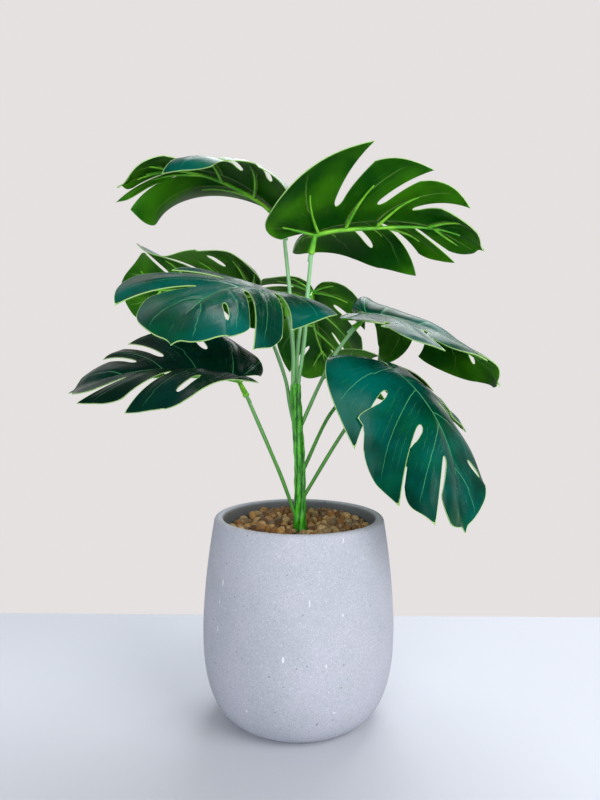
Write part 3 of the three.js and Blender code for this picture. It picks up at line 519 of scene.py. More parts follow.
def blade_mesh(name, leaf):
    """The blade: two skins and a rim, with its vein places kept for the materials."""
    points, faces, values = blade_patches(leaf)
    own, welded, first = weld(points, faces)
    solid = np.array([len(set(face)) >= 3 for face in welded])
    welded, faces = welded[solid], faces[solid]
    own = own + point_normals(own, welded) * values[first, 5:6]
    normals = point_normals(own, welded)
    top = own + normals * BLADE_THICKNESS / 2
    under = own - normals * BLADE_THICKNESS / 2
    polygons, corners, slots = blade_polygons(welded, faces, len(own))
    mesh = bpy.data.meshes.new(name)
    mesh.from_pydata(np.concatenate([top, under]) * MM, [], polygons)
    mesh.polygons.foreach_set("material_index", slots)
    mesh.polygons.foreach_set("use_smooth", [True] * len(polygons))
    for column, key in enumerate(("phase", "cell_mm", "along", "mid_mm", "edge_mm")):
        keep_values(mesh, key, "CORNER", values[corners, column])
    # the leaf's painted light level: 1 for none, lower for painted shade over its whole top
    keep_values(mesh, "painted_light_level", "CORNER", np.full(len(corners), leaf.get("painted_light_level", 1.0)))
    sharpen_rim(mesh, slots)
    return mesh


def sharpen_rim(mesh, slots):
    """Keeps the cut rim crisp where it meets the two skins."""
    rim = {key for polygon, slot in zip(mesh.polygons, slots) if slot == 2 for key in polygon.edge_keys}
    for edge in mesh.edges:
        edge.use_edge_sharp = tuple(sorted(edge.vertices)) in rim


# ---- rods and tubes -----------------------------------------------------------------------


def smooth_path(points, count):
    """Evenly read points of a centripetal curve through the given ones."""
    points = np.asarray(points, float)
    ends = np.concatenate([[2 * points[0] - points[1]], points, [2 * points[-1] - points[-2]]])
    knots = np.concatenate([[0], np.cumsum(np.sqrt(np.linalg.norm(np.diff(ends, axis=0), axis=1)))])
    wanted = np.linspace(knots[1], knots[-2], count)
    out = []
    for x in wanted:
        i = int(np.clip(np.searchsorted(knots, x, side="right") - 1, 1, len(points) - 1))
        p, k = ends[i - 1:i + 3], knots[i - 1:i + 3]
        a = [p[j] + (p[j + 1] - p[j]) * (x - k[j]) / (k[j + 1] - k[j]) for j in range(3)]
        b = [a[j] + (a[j + 1] - a[j]) * (x - k[j]) / (k[j + 2] - k[j]) for j in range(2)]
        out.append(b[0] + (b[1] - b[0]) * (x - k[1]) / (k[2] - k[1]))
    return np.array(out)


def frames_along(path):
    """Sideways and upward directions along a path that turn as little as they can."""
    forward = unit(np.gradient(path, axis=0))
    side = np.cross(forward[0], [0.0, 0.0, 1.0])
    if np.linalg.norm(side) < 0.1:
        side = np.cross(forward[0], [0.0, 1.0, 0.0])
    sides = []
    for f in forward:
        side = side - f * (side @ f)
        side = side / np.linalg.norm(side)
        sides.append(side)
    sides = np.array(sides)
    return sides, np.cross(sides, forward)


def ring(centre, side, up, radii):
    """Points round a centre at evenly spaced angles, one for each of the radii."""
    angles = round_angles(len(radii))
    return centre + (np.cos(angles)[:, None] * side + np.sin(angles)[:, None] * up) * radii[:, None]


def ring_faces(rings, facets, first=0):
    """Quads between rings of points that follow each other from index first."""
    faces = []
    for r in range(rings - 1):
        for i in range(facets):
            a, b = first + r * facets + i, first + r * facets + (i + 1) % facets
            faces.append([a, b, b + facets, a + facets])
    return faces


def tube(path, radii, section):
    """Rings round a path, each shaped by its row of the section, closed by a point at each end."""
    path = np.asarray(path, float)
    sides, ups = frames_along(path)
    facets = section.shape[1]
    rings = [ring(*at, radius * row) for *at, radius, row in zip(path, sides, ups, radii, section)]
    points = np.concatenate([[path[0]], *rings, [path[-1]]])
    faces = ring_faces(len(path), facets, 1)
    last = 1 + (len(path) - 1) * facets
    for i in range(facets):
        j = (i + 1) % facets
        faces.append([0, 1 + j, 1 + i])
        faces.append([len(points) - 1, last + i, last + j])
    return points, faces


def round_tube(path, radii, facets):
    return tube(path, radii, np.ones((len(path), facets)))


def rounded_rod(path, radii, facets):
    """A tube whose two ends are domed."""
    first, last = unit(path[0] - path[1]), unit(path[-1] - path[-2])
    dome = [(0.95, 0.3), (0.75, 0.66), (0.4, 0.92)]  # how far out and how wide, as shares of the radius
    head = [path[0] + first * radii[0] * out for out, _ in dome]
    tail = [path[-1] + last * radii[-1] * out for out, _ in dome[::-1]]
    head_radii = [radii[0] * size for _, size in dome]
    tail_radii = [radii[-1] * size for _, size in dome[::-1]]
    return round_tube(np.concatenate([head, path, tail]), [*head_radii, *radii, *tail_radii], facets)


def joined(parts):
    points, faces, base = [], [], 0
    for part_points, part_faces in parts:
        points.append(part_points)
        faces += [[base + i for i in face] for face in part_faces]
        base += len(part_points)
    return np.concatenate(points), faces


def make_piece(name, points, faces, material, replaces):
    mesh = bpy.data.meshes.new(name)
    mesh.from_pydata(np.asarray(points) * MM, [], faces)
    mesh.polygons.foreach_set("use_smooth", [True] * len(mesh.polygons))
    mesh.materials.append(material)
    return place_piece(name, mesh, replaces)


def place_piece(name, mesh, replaces):
    piece = bpy.data.objects.new(name, mesh)
    bpy.context.scene.collection.objects.link(piece)
    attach(piece, "root")
    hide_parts(*replaces)
    return piece


# ---- rib frames and stalks ----------------------------------------------------------------


def spine_hang(u):
    """How far the frame's spine hangs below the blade, beyond touching it."""
    hub, most, peak, end = (RIB[key] for key in ("hub_hang", "most_hang", "most_hang_at", "spine_reach"))
    rising = hub + (most - hub) * ease(u / peak)
    falling = most * (1 - ease((u - peak) / (end - peak)))
    return np.where(u < peak, rising, falling)


def rib_depth(radii):
    """How far a rib's middle lies below the blade's middle where the two touch."""
    return BLADE_THICKNESS / 2 + radii * RIB_OVERLAP


def surface_normal(leaf, side, q, t, lobe):
    step = 0.004

    def between(low_q, low_t, high_q, high_t):
        return leaf_point(leaf, side, high_q, high_t, lobe) - leaf_point(leaf, side, low_q, low_t, lobe)

    out = between(q, np.maximum(t - step, 0), q, t + step)
    over = between(q - step, t, q + step, t)
    return unit(np.cross(over, out)) * side


def hub_seat(leaf):
    _, _, normal = midrib_frame(leaf, 0.0)
    drop = BLADE_THICKNESS / 2 + RIB["hub_radius"] + RIB["hub_hang"]
    return np.array(leaf["hub"], float) - normal * drop, normal


def socket_axis(leaf):
    seat, _ = hub_seat(leaf)
    return unit(seat - np.array(leaf["stalk"][-1], float))


def spine_path(leaf):
    u = np.linspace(0, RIB["spine_reach"], SPINE_STEPS)
    _, _, normal = midrib_frame(leaf, u)
    radii = RIB["hub_radius"] + (RIB["spine_tip"] - RIB["hub_radius"]) * u / RIB["spine_reach"]
    drop = rib_depth(radii) + spine_hang(u)
    return midrib_point(leaf, u) - normal * drop[:, None], radii


def side_rib_places(half):
    """The lobe and q of each side rib: two under the first lobe and one under each of the others."""
    edges = [0, *half["cuts"], 1]
    middles = [(lobe, (edges[lobe] + edges[lobe + 1]) / 2) for lobe in range(1, LAST_LOBE + 1)]
    return [(0, share * edges[1]) for share in RIB["first_lobe"]] + middles


def side_rib(leaf, side, lobe, q):
    t = np.linspace(SIDE_RIB_START, RIB["side_reach"], SIDE_RIB_STEPS)
    places = np.full(len(t), q)
    points = leaf_point(leaf, side, places, t, lobe)
    normal = surface_normal(leaf, side, places, t, lobe)
    share = t / RIB["side_reach"]
    radii = RIB["side_radius"] + (RIB["side_tip"] - RIB["side_radius"]) * share
    start = float(np.maximum(through(VEIN_ORIGIN, np.array([q])), 0)[0])
    hang = float(spine_hang(np.array(start))) * (1 - ease(share))
    return rounded_rod(points - normal * (rib_depth(radii) + hang)[:, None], radii, 10)


def socket_tube(leaf):
    """The collar that the stalk pushes into, open at its mouth, with a bead round the lip."""
    seat, _ = hub_seat(leaf)
    axis = socket_axis(leaf)
    length, mouth, neck = SOCKET["length"], SOCKET["mouth_radius"], SOCKET["neck_radius"]
    inner = STALK["radius"] + SOCKET_CLEARANCE
    outline = [
        (-1.6, neck * 0.5), (-1.1, neck * 0.85), (0, neck), (length * 0.35, neck + 0.25),
        (length * 0.8, mouth - 0.25), (length - 1.4, mouth), (length - 0.3, mouth),
        (length, mouth - 0.35), (length - 0.2, inner), (SOCKET["bore"], inner),
    ]
    path = np.array([seat - axis * distance for distance, _ in outline])
    side = unit(np.cross(axis, [0.3, 0.2, 0.93]))
    up = np.cross(axis, side)
    facets = 20
    radii = [radius for _, radius in outline]
    rings = [ring(centre, side, up, np.full(facets, radius)) for centre, radius in zip(path, radii)]
    points = np.concatenate([*rings, [path[0] + axis * 0.3], [path[-1]]])
    faces = [[face[0], *face[:0:-1]] for face in ring_faces(len(outline), facets)]
    last = (len(outline) - 1) * facets
    for i in range(facets):
        j = (i + 1) % facets
        faces.append([len(points) - 2, i, j])
        faces.append([len(points) - 1, last + j, last + i])
    return points, faces


def make_ribs(name, leaf, material):
    spine, radii = spine_path(leaf)
    parts = [rounded_rod(spine, radii, 14), socket_tube(leaf)]
    for side in (1, -1):
        half = leaf["left"] if side > 0 else leaf["right"]
        parts += [side_rib(leaf, side, lobe, q) for lobe, q in side_rib_places(half)]
    points, faces = joined(parts)
    make_piece("rib_frame_" + name, points, faces, material, ["ribs_" + name])


def stalk_path(leaf):
    axis = socket_axis(leaf)
    seat, _ = hub_seat(leaf)
    end = seat - axis * (SOCKET["bore"] - 1)
    mouth = seat - axis * SOCKET["length"]
    approach = seat - axis * (SOCKET["length"] + STALK["approach"])
    return smooth_path([*leaf["stalk"], approach, mouth, end], STALK_STEPS)


def make_stalk(name, leaf, material):
    path = stalk_path(leaf)
    share = np.linspace(0, 1, len(path))
    radii = STALK["radius"] * (1 + STALK_WAVE * np.sin(share * STALK_WAVE_RATE + len(name)))
    points, faces = round_tube(path, radii, 14)
    make_piece("stem_" + name, points, faces, material, ["stalk_" + name])


def make_blade(name, leaf, materials):
    mesh = blade_mesh("leaf_" + name, leaf)
    for material in materials:
        mesh.materials.append(material)
    place_piece("leaf_" + name, mesh, ["blade_" + name])


# ---- trunk, pot and gravel ----------------------------------------------------------------


def trunk_path(z):
    """The trunk's swaying middle line at the given heights."""
    heights, sway = zip(*TRUNK_SWAY)
    x = np.convolve(np.pad(np.interp(z, heights, sway), 8, mode="edge"), np.ones(17) / 17, mode="valid")
    return np.stack([x, np.zeros(len(z)), z], 1)


def trunk_radii(z):
    """Thin where the filler hides it, swollen where it leaves the gravel, and rounded at its top."""
    form = TRUNK_FORM
    filler_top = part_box("filler")[1][2] / MM
    above_gravel = (z - GRAVEL["top"] - form["swelling_above"]) / form["swelling_height"]
    added = form["shown"] + form["swelling"] * np.exp(-(above_gravel**2))
    radii = TRUNK["radius"] * (form["hidden"] + added * ease((z - filler_top) / form["rise"]))
    radii[-3:] *= [0.97, 0.86, 0.6]
    return radii


def make_trunk(material):
    """Fused stems that wind round each other, with small swellings along them."""
    form = TRUNK_FORM
    z = np.linspace(TRUNK["foot"], TRUNK["top"], 150)
    share = ((z - TRUNK["foot"]) / (TRUNK["top"] - TRUNK["foot"]))[:, None]
    turned = round_angles(60)[None, :] + np.radians(TRUNK["twist"]) * share
    strands = np.abs(np.cos(TRUNK["stems"] / 2 * turned))
    lumps = form["long_lumps"] * np.sin(share * 38 + np.cos(turned) * 2.3)
    lumps = lumps + form["short_lumps"] * np.sin(share * 83 + turned * 2)
    section = form["valley"] + form["ridge"] * strands ** form["ridge_power"] + lumps
    points, faces = tube(trunk_path(z), trunk_radii(z), section)
    piece = make_piece("stem_bundle", points, faces, material, ["trunk"])
    # how far each point lies on a strand's ridge, which the trunk material uses to paint shade in the
    # grooves
    keep_values(piece.data, "ridge", "POINT", [1.0, *strands.ravel(), 1.0])


def pot_outer(z):
    keys = ("foot_radius", "widest_radius", "rim_radius", "widest_height")
    foot, widest, rim, widest_height = (POT[key] for key in keys)
    z = np.asarray(z, float)
    rise = 1 - (1 - np.clip(z / widest_height, 0, 1)) ** POT["lower_fullness"]
    lower = foot + (widest - foot) * rise ** (1 / POT["lower_fullness"])
    share = np.clip((z - widest_height) / (POT["height"] - widest_height), 0, 1)
    upper = widest - (widest - rim) * share ** POT["upper_fullness"]
    return np.where(z <= widest_height, lower, upper)


def pot_profile():
    half_wall = POT["wall"] / 2
    rim_z = POT["height"] - half_wall
    lower_z = POT["widest_height"] * np.linspace(0, 1, 30) ** 2
    z = np.concatenate([lower_z, np.linspace(POT["widest_height"] + 2, rim_z, 34)])
    outer = [(float(pot_outer(h)), float(h)) for h in z]
    middle = float(pot_outer(rim_z)) - half_wall
    angles = np.radians(np.linspace(8, 172, 16))
    rim = [(middle + math.cos(a) * half_wall, rim_z + math.sin(a) * half_wall) for a in angles]
    inner = [(float(pot_outer(h)) - POT["wall"], float(h)) for h in np.linspace(rim_z, POT["floor"], 40)]
    foot_edge = 1.2
    return [(0, 0), (POT["foot_radius"] - foot_edge, 0), *outer, *rim, *inner, (0, POT["floor"])]


def make_pot(material):
    facets = 144
    outline = pot_profile()
    points, rings = [], []
    for radius, z in outline:
        if radius == 0:
            rings.append([len(points)] * facets)
            points.append((0, 0, z))
            continue
        rings.append(list(range(len(points), len(points) + facets)))
        angles = round_angles(facets)
        points += list(zip(np.cos(angles) * radius, np.sin(angles) * radius, [z] * facets))
    faces = []
    for low, high in zip(rings, rings[1:]):
        for i in range(facets):
            j = (i + 1) % facets
            face = [low[i], low[j], high[j], high[i]]
            faces.append([v for k, v in enumerate(face) if v != face[k - 1]])
    make_piece("concrete_pot", points, faces, material, ["pot"])


def icosphere(levels):
    phi = (1 + math.sqrt(5)) / 2
    points = [(-1, phi, 0), (1, phi, 0), (-1, -phi, 0), (1, -phi, 0), (0, -1, phi), (0, 1, phi),
              (0, -1, -phi), (0, 1, -phi), (phi, 0, -1), (phi, 0, 1), (-phi, 0, -1), (-phi, 0, 1)]
    faces = [(0, 11, 5), (0, 5, 1), (0, 1, 7), (0, 7, 10), (0, 10, 11), (1, 5, 9), (5, 11, 4),
             (11, 10, 2), (10, 7, 6), (7, 1, 8), (3, 9, 4), (3, 4, 2), (3, 2, 6), (3, 6, 8),
             (3, 8, 9), (4, 9, 5), (2, 4, 11), (6, 2, 10), (8, 6, 7), (9, 8, 1)]
    points = [np.array(p) / np.linalg.norm(p) for p in points]
    for _ in range(levels):
        middle, split = {}, []

        def between(a, b):
            key = (min(a, b), max(a, b))
            if key not in middle:
                middle[key] = len(points)
                points.append((points[a] + points[b]) / np.linalg.norm(points[a] + points[b]))
            return middle[key]

        for a, b, c in faces:
            ab, bc, ca = between(a, b), between(b, c), between(c, a)
            split += [(a, ab, ca), (b, bc, ab), (c, ca, bc), (ab, bc, ca)]
        faces = split
    return np.array(points), np.array(faces)


def pebble_shapes(rng, count):
    ball, faces = icosphere(2)
    shapes = []
    for _ in range(count):
        bumps = np.ones(len(ball))
        for _ in range(5):
            axis = unit(rng.normal(size=3))
            bumps += rng.uniform(-0.12, 0.1) * np.exp(3 * (ball @ axis - 1))
        stretch = np.array([1, rng.uniform(0.78, 1), rng.uniform(0.62, 0.88)])
        shapes.append(ball * bumps[:, None] * stretch)
    return shapes, faces


def random_turn(rng):
    return np.array(Matrix.Rotation(rng.uniform(0, 2 * math.pi), 3, Vector(unit(rng.normal(size=3)))))


def pebble_places(rng):
    """Centres and radii of pebbles in two layers, none closer to another than they can lie."""
    places = []
    for layer, (height, tries) in enumerate(PEBBLES["layers"]):
        for _ in range(tries):
            radius = rng.uniform(PEBBLES["least_radius"], PEBBLES["most_radius"])
            distance = math.sqrt(rng.uniform(0, 1)) * (GRAVEL["edge_radius"] - radius)
            angle = rng.uniform(0, 2 * math.pi)
            x, y = distance * math.cos(angle), distance * math.sin(angle)
            if distance < GRAVEL["well"] + radius * 0.7:
                continue
            mound = GRAVEL["mound"] * (1 - distance / GRAVEL["edge_radius"])
            level = GRAVEL["top"] + mound + PEBBLES["slope"] * y + height
            z = level + rng.uniform(-PEBBLES["unevenness"], PEBBLES["unevenness"])
            spaced = all((x - a) ** 2 + (y - b) ** 2 > (PEBBLES["spacing"] * (radius + r)) ** 2
                         for a, b, _, r, of in places if of == layer)
            if spaced:
                places.append((x, y, z, radius, layer))
    return places


def make_gravel(material):
    rng = np.random.default_rng(7)
    shapes, ball_faces = pebble_shapes(rng, PEBBLES["shapes"])
    points, faces, tints, base = [], [], [], 0
    for x, y, z, radius, _ in pebble_places(rng):
        shape = shapes[rng.integers(len(shapes))] @ random_turn(rng).T
        points.append(shape * radius * PEBBLES["fullness"] + np.array([x, y, z]))
        faces.append(ball_faces + base)
        tints.append(np.full(len(ball_faces) * 3, rng.uniform(PALEST_GAP, 1)))
        base += len(shape)
    bed_points, bed_faces = gravel_bed()
    points.append(bed_points)
    faces = [list(map(int, face)) for face in np.concatenate(faces)]
    faces += [[base + i for i in face] for face in bed_faces]
    # painted shade: the bed takes tint 0, the near-black shade between the pebbles
    tints.append(np.zeros(sum(len(face) for face in bed_faces)))
    piece = make_piece("pebbles", np.concatenate(points), faces, material, ["gravel"])
    keep_values(piece.data, "tint", "CORNER", np.concatenate(tints))


def gravel_bed():
    """The closed body of gravel below the pebbles that show, painted the dark shade between them."""
    facets = 64
    top, bottom = GRAVEL["top"] - PEBBLES["bed_depth"], PEBBLES["bed_bottom"]
    inner, outer = GRAVEL["well"], GRAVEL["edge_radius"] - 0.5
    points = []
    for radius, z, slope in ((inner, bottom, 0), (outer, bottom, 0), (outer, top, 1), (inner, top, 1)):
        for angle in round_angles(facets):
            y = radius * math.sin(angle)
            points.append((radius * math.cos(angle), y, z + slope * PEBBLES["slope"] * y))
    faces = [[corner % len(points) for corner in face] for face in ring_faces(5, facets)]
    return np.array(points), faces


# ---- materials ----------------------------------------------------------------------------


class Nodes:
    """A material's node tree, with short ways to make and link its nodes."""

    def __init__(self, name):
        self.material = bpy.data.materials.new(name)
        self.material.use_nodes = True
        self.tree = self.material.node_tree
        self.shader = self.tree.nodes["Principled BSDF"]
        self.output = self.tree.nodes["Material Output"]

    def make(self, kind, **settings):
        node = self.tree.nodes.new(kind)
        for key, value in settings.items():
            setattr(node, key, value)
        return node

    def feed(self, socket, value):
        if isinstance(value, bpy.types.NodeSocket):
            self.tree.links.new(value, socket)
        elif isinstance(value, (tuple, list)) and len(value) == 3 and socket.type == "RGBA":
            socket.default_value = (*value, 1)
        else:
            socket.default_value = value

    def attribute(self, name):
        return self.make("ShaderNodeAttribute", attribute_name=name).outputs["Fac"]

    def math(self, operation, *values):
        node = self.make("ShaderNodeMath", operation=operation)
        for socket, value in zip(node.inputs, values):
            self.feed(socket, value)
        return node.outputs[0]

    def times(self, first, second):
        return self.math("MULTIPLY", first, second)

    def largest(self, first, *others):
        for other in others:
            first = self.math("MAXIMUM", first, other)
        return first

    def span(self, value, low, high, to_low=0.0, to_high=1.0, smooth=True):
        """value from low..high carried to to_low..to_high, held at both ends."""
        node = self.make("ShaderNodeMapRange", interpolation_type="SMOOTHSTEP" if smooth else "LINEAR")
        for socket, number in zip(node.inputs, (value, low, high, to_low, to_high)):
            self.feed(socket, number)
        return node.outputs[0]

    def mix(self, share, first, second, blend="MIX"):
        node = self.make("ShaderNodeMix", data_type="RGBA", blend_type=blend)
        self.feed(node.inputs[0], share)
        self.feed(node.inputs[6], first)
        self.feed(node.inputs[7], second)
        return node.outputs[2]

    def place(self):
        return self.make("ShaderNodeTexCoord").outputs["Object"]

    def noise(self, scale, detail, vector=None, roughness=0.5):
        node = self.make("ShaderNodeTexNoise")
        self.feed(node.inputs["Vector"], vector or self.place())
        self.feed(node.inputs["Scale"], scale)
        self.feed(node.inputs["Detail"], detail)
        self.feed(node.inputs["Roughness"], roughness)
        return node.outputs["Fac"]

    def bump(self, height, distance, strength):
        node = self.make("ShaderNodeBump")
        self.feed(node.inputs["Height"], height)
        self.feed(node.inputs["Distance"], distance)
        self.feed(node.inputs["Strength"], strength)
        self.feed(self.shader.inputs["Normal"], node.outputs[0])

    def finish(self, colour, roughness, specular=0.5):
        self.feed(self.shader.inputs["Base Color"], colour)
        self.feed(self.shader.inputs["Roughness"], roughness)
        self.shader.inputs["Specular IOR Level"].default_value = specular
        return self.material


def linear(red, green, blue):
    """A colour given in display values from 0 to 255."""
    channels = [c / 255 for c in (red, green, blue)]
    return tuple(c / 12.92 if c <= 0.04045 else ((c + 0.055) / 1.055) ** 2.4 for c in channels)


# the near-black green of painted shade on leaf tops
TOP_PAINTED_SHADE = linear(0, 24, 14)
TOP_DEEP = linear(0, 52, 38)
TOP_TEAL = linear(0, 88, 78)
TOP_FRESH = linear(0, 84, 44)
TOP_VEIN = linear(84, 168, 112)
CUT_EDGE = linear(168, 205, 132)
UNDER_DEEP = linear(18, 100, 6)
UNDER_FRESH = linear(92, 184, 12)
UNDER_VEIN = linear(172, 218, 112)
UNDER_LIT = linear(150, 240, 16)
UNDER_VEIN_LIT = linear(232, 250, 150)
RIB_BRIGHT = linear(138, 218, 52)
RIB_DEEP = linear(84, 176, 28)


def vein_lines(n, side_mm):
    """Shares of the midrib, side and small veins at a point, each from 0 to 1."""
    phase, cell = n.attribute("phase"), n.attribute("cell_mm")
    along, mid, edge = n.attribute("along"), n.attribute("mid_mm"), n.attribute("edge_mm")
    wobble = n.math("SUBTRACT", n.noise(260, 2), 0.5)
    inside = n.span(edge, 0.6, 5)

    def line(centre, wide, narrow, wander):
        offset = n.math("SUBTRACT", n.math("FRACT", phase), centre)
        distance = n.math("ABSOLUTE", n.math("MULTIPLY_ADD", wobble, wander, n.times(offset, cell)))
        width = n.span(along, 0.0, 0.95, wide, narrow, smooth=False)
        share = n.math("DIVIDE", distance, width)
        return n.times(n.span(share, 0.55, 1.25, 1.0, 0.0), inside)

    side_vein = n.times(line(0.5, side_mm, 0.16, 1.2), n.span(along, 0.86, 0.97, 1.0, 0.0))
    small_veins = n.largest(*[line(centre, 0.3, 0.12, 3.0) for centre in (0.2, 0.34, 0.68, 0.83)])
    small_veins = n.times(small_veins, n.span(along, 0.05, 0.25))
    small_veins = n.times(small_veins, n.span(along, 0.7, 0.93, 1.0, 0.0))
    small_veins = n.times(small_veins, n.span(n.noise(90, 1), 0.42, 0.6))
    midrib = n.span(n.math("ABSOLUTE", mid), 0.55, 1.05, 1.0, 0.0)
    return midrib, side_vein, small_veins, edge


def leaf_top_material():
    n = Nodes("leaf top")
    midrib, side_vein, small, edge = vein_lines(n, 0.55)
    cloud = n.span(n.noise(22, 3), 0.35, 0.68)
    base = n.mix(cloud, TOP_DEEP, TOP_TEAL)
    base = n.mix(n.times(n.span(n.noise(34, 2), 0.45, 0.75), 0.5), base, TOP_FRESH)
    # painted shade: leaf tops are mixed towards near-black green by the leaf's painted light level
    base = n.mix(n.attribute("painted_light_level"), TOP_PAINTED_SHADE, base)
    base = n.mix(n.times(small, 0.22), base, TOP_VEIN)
    base = n.mix(n.times(n.largest(side_vein, midrib), 0.6), base, TOP_VEIN)
    base = n.mix(n.span(edge, 0.2, 0.55, 0.85, 0.0), base, CUT_EDGE)
    grain = n.math("ADD", n.times(n.noise(1500, 2), 0.25), n.times(n.noise(160, 2), 0.6))
    n.bump(grain, 0.4 * MM, 0.35)
    return n.finish(base, n.span(n.noise(60, 3), 0.3, 0.7, 0.2, 0.34), 0.07)


def leaf_under_material():
    n = Nodes("leaf underside")
    midrib, side_vein, small, edge = vein_lines(n, 1.0)
    cloud = n.span(n.noise(26, 3), 0.32, 0.7)
    base = n.mix(cloud, UNDER_DEEP, UNDER_FRESH)
    near_rib = n.span(n.math("ABSOLUTE", n.attribute("mid_mm")), 2, 26, 0.75, 0.0)
    base = n.mix(near_rib, base, UNDER_DEEP)
    lit = n.mix(0.75, base, UNDER_LIT)
    printed = n.largest(n.times(small, 0.45), side_vein, midrib)
    base = n.mix(n.times(printed, 0.85), base, UNDER_VEIN)
    lit = n.mix(n.times(printed, 0.8), lit, UNDER_VEIN_LIT)
    base = n.mix(n.span(edge, 0.15, 0.7, 0.5, 0.0), base, UNDER_DEEP)
    n.bump(n.noise(700, 2), 0.3 * MM, 0.3)
    n.finish(base, n.span(n.noise(50, 2), 0.3, 0.7, 0.4, 0.55), 0.25)
    through_light = n.make("ShaderNodeBsdfTranslucent")
    n.feed(through_light.inputs["Color"], lit)
    both = n.make("ShaderNodeMixShader")
    both.inputs[0].default_value = 0.6
    n.tree.links.new(n.shader.outputs[0], both.inputs[1])
    n.tree.links.new(through_light.outputs[0], both.inputs[2])
    n.tree.links.new(both.outputs[0], n.output.inputs["Surface"])
    return n.material


def cut_edge_material():
    n = Nodes("leaf cut edge")
    return n.finish(n.mix(n.noise(180, 2), CUT_EDGE, linear(128, 178, 90)), 0.55, 0.35)


def rib_material():
    n = Nodes("moulded ribs")
    base = n.mix(n.span(n.noise(80, 2), 0.35, 0.65), RIB_DEEP, RIB_BRIGHT)
    n.bump(n.noise(900, 2), 0.2 * MM, 0.25)
    return n.finish(base, n.span(n.noise(120, 2), 0.3, 0.7, 0.34, 0.5), 0.5)


def stalk_material():
    n = Nodes("stalk")
    height = n.make("ShaderNodeSeparateXYZ")
    n.feed(height.inputs[0], n.place())
    upper = n.span(height.outputs[2], 0.20, 0.33)
    lower_green = n.mix(n.noise(70, 2), linear(52, 128, 34), linear(88, 160, 56))
    upper_green = n.mix(n.noise(90, 2), linear(132, 196, 128), linear(160, 214, 160))
    base = n.mix(upper, lower_green, upper_green)
    stretched = n.make("ShaderNodeMapping")
    n.feed(stretched.inputs[0], n.place())
    stretched.inputs["Scale"].default_value = (1, 1, 0.12)
    n.bump(n.noise(1400, 2, stretched.outputs[0]), 0.3 * MM, 0.4)
    return n.finish(base, 0.42, 0.5)


def trunk_material():
    n = Nodes("trunk")
    streaks = n.make("ShaderNodeMapping")
    n.feed(streaks.inputs[0], n.place())
    streaks.inputs["Scale"].default_value = (1, 1, 0.2)
    colour = n.span(n.noise(420, 3, streaks.outputs[0]), 0.3, 0.7)
    base = n.mix(colour, linear(22, 112, 14), linear(86, 196, 40))
    # painted shade: the grooves between the fused stems are drawn near-black green
    base = n.mix(n.span(n.attribute("ridge"), 0.05, 0.5), linear(8, 64, 8), base)
    n.bump(n.noise(700, 3, streaks.outputs[0]), 0.6 * MM, 0.5)
    return n.finish(base, n.span(n.noise(200, 2), 0.3, 0.7, 0.25, 0.42), 0.55)


# Small pale nicks in the pot's wall: angle round it in degrees (0 towards the viewer, growing to
# the right), height, half width and half height in millimetres.
NICKS = [
    (-8, 73, 1.1, 2.6), (-50, 118, 0.8, 2.8), (-52, 104, 0.5, 2.2), (-52, 84, 0.5, 3.2),
    (15, 68, 0.6, 2.0), (6, 112, 0.4, 3.2), (25, 102, 0.5, 1.6), (28, 153, 0.5, 2.0),
    (-31, 30, 0.7, 1.6), (21, 32, 1.0, 0.7), (150, 88, 0.8, 2.4), (-120, 66, 0.6, 3.0),
    (100, 112, 0.5, 2.2),
]


def length_of(n, x, y):
    return n.math("SQRT", n.math("ADD", n.times(x, x), n.times(y, y)))


def painted_inner_shade(n, from_axis, z):
    """Where painted shade goes: 1 on the pot's inner wall above the gravel, and 0 on its outside."""
    share = n.span(z, POT["widest_height"] * MM, POT["height"] * MM, smooth=False)
    most_narrowing = (POT["widest_radius"] - POT["rim_radius"]) * MM
    narrowing = n.times(n.math("POWER", share, POT["upper_fullness"]), most_narrowing)
    outer_radius = n.math("SUBTRACT", POT["widest_radius"] * MM, narrowing)
    depth = n.math("SUBTRACT", outer_radius, from_axis)
    return n.times(n.span(depth, 5 * MM, 7.2 * MM), n.span(z, 0.12, 0.13))


def add_nicks(n, base, from_axis, x, y, z):
    angle = n.math("ARCTAN2", x, n.times(y, -1.0))
    outside = n.span(from_axis, 0.06, 0.0612)
    for degrees, height, half_width, half_height in NICKS:
        radius = float(pot_outer(height))
        aside = n.times(n.math("SUBTRACT", angle, math.radians(degrees)), radius / half_width)
        above = n.times(n.math("SUBTRACT", z, height * MM), 1 / (half_height * MM))
        ragged = n.math("ADD", length_of(n, aside, above), n.times(n.noise(900, 2), 0.9))
        mark = n.times(n.span(ragged, 1.0, 1.5, 0.65, 0.0), outside)
        base = n.mix(mark, base, linear(240, 240, 243))
    return base


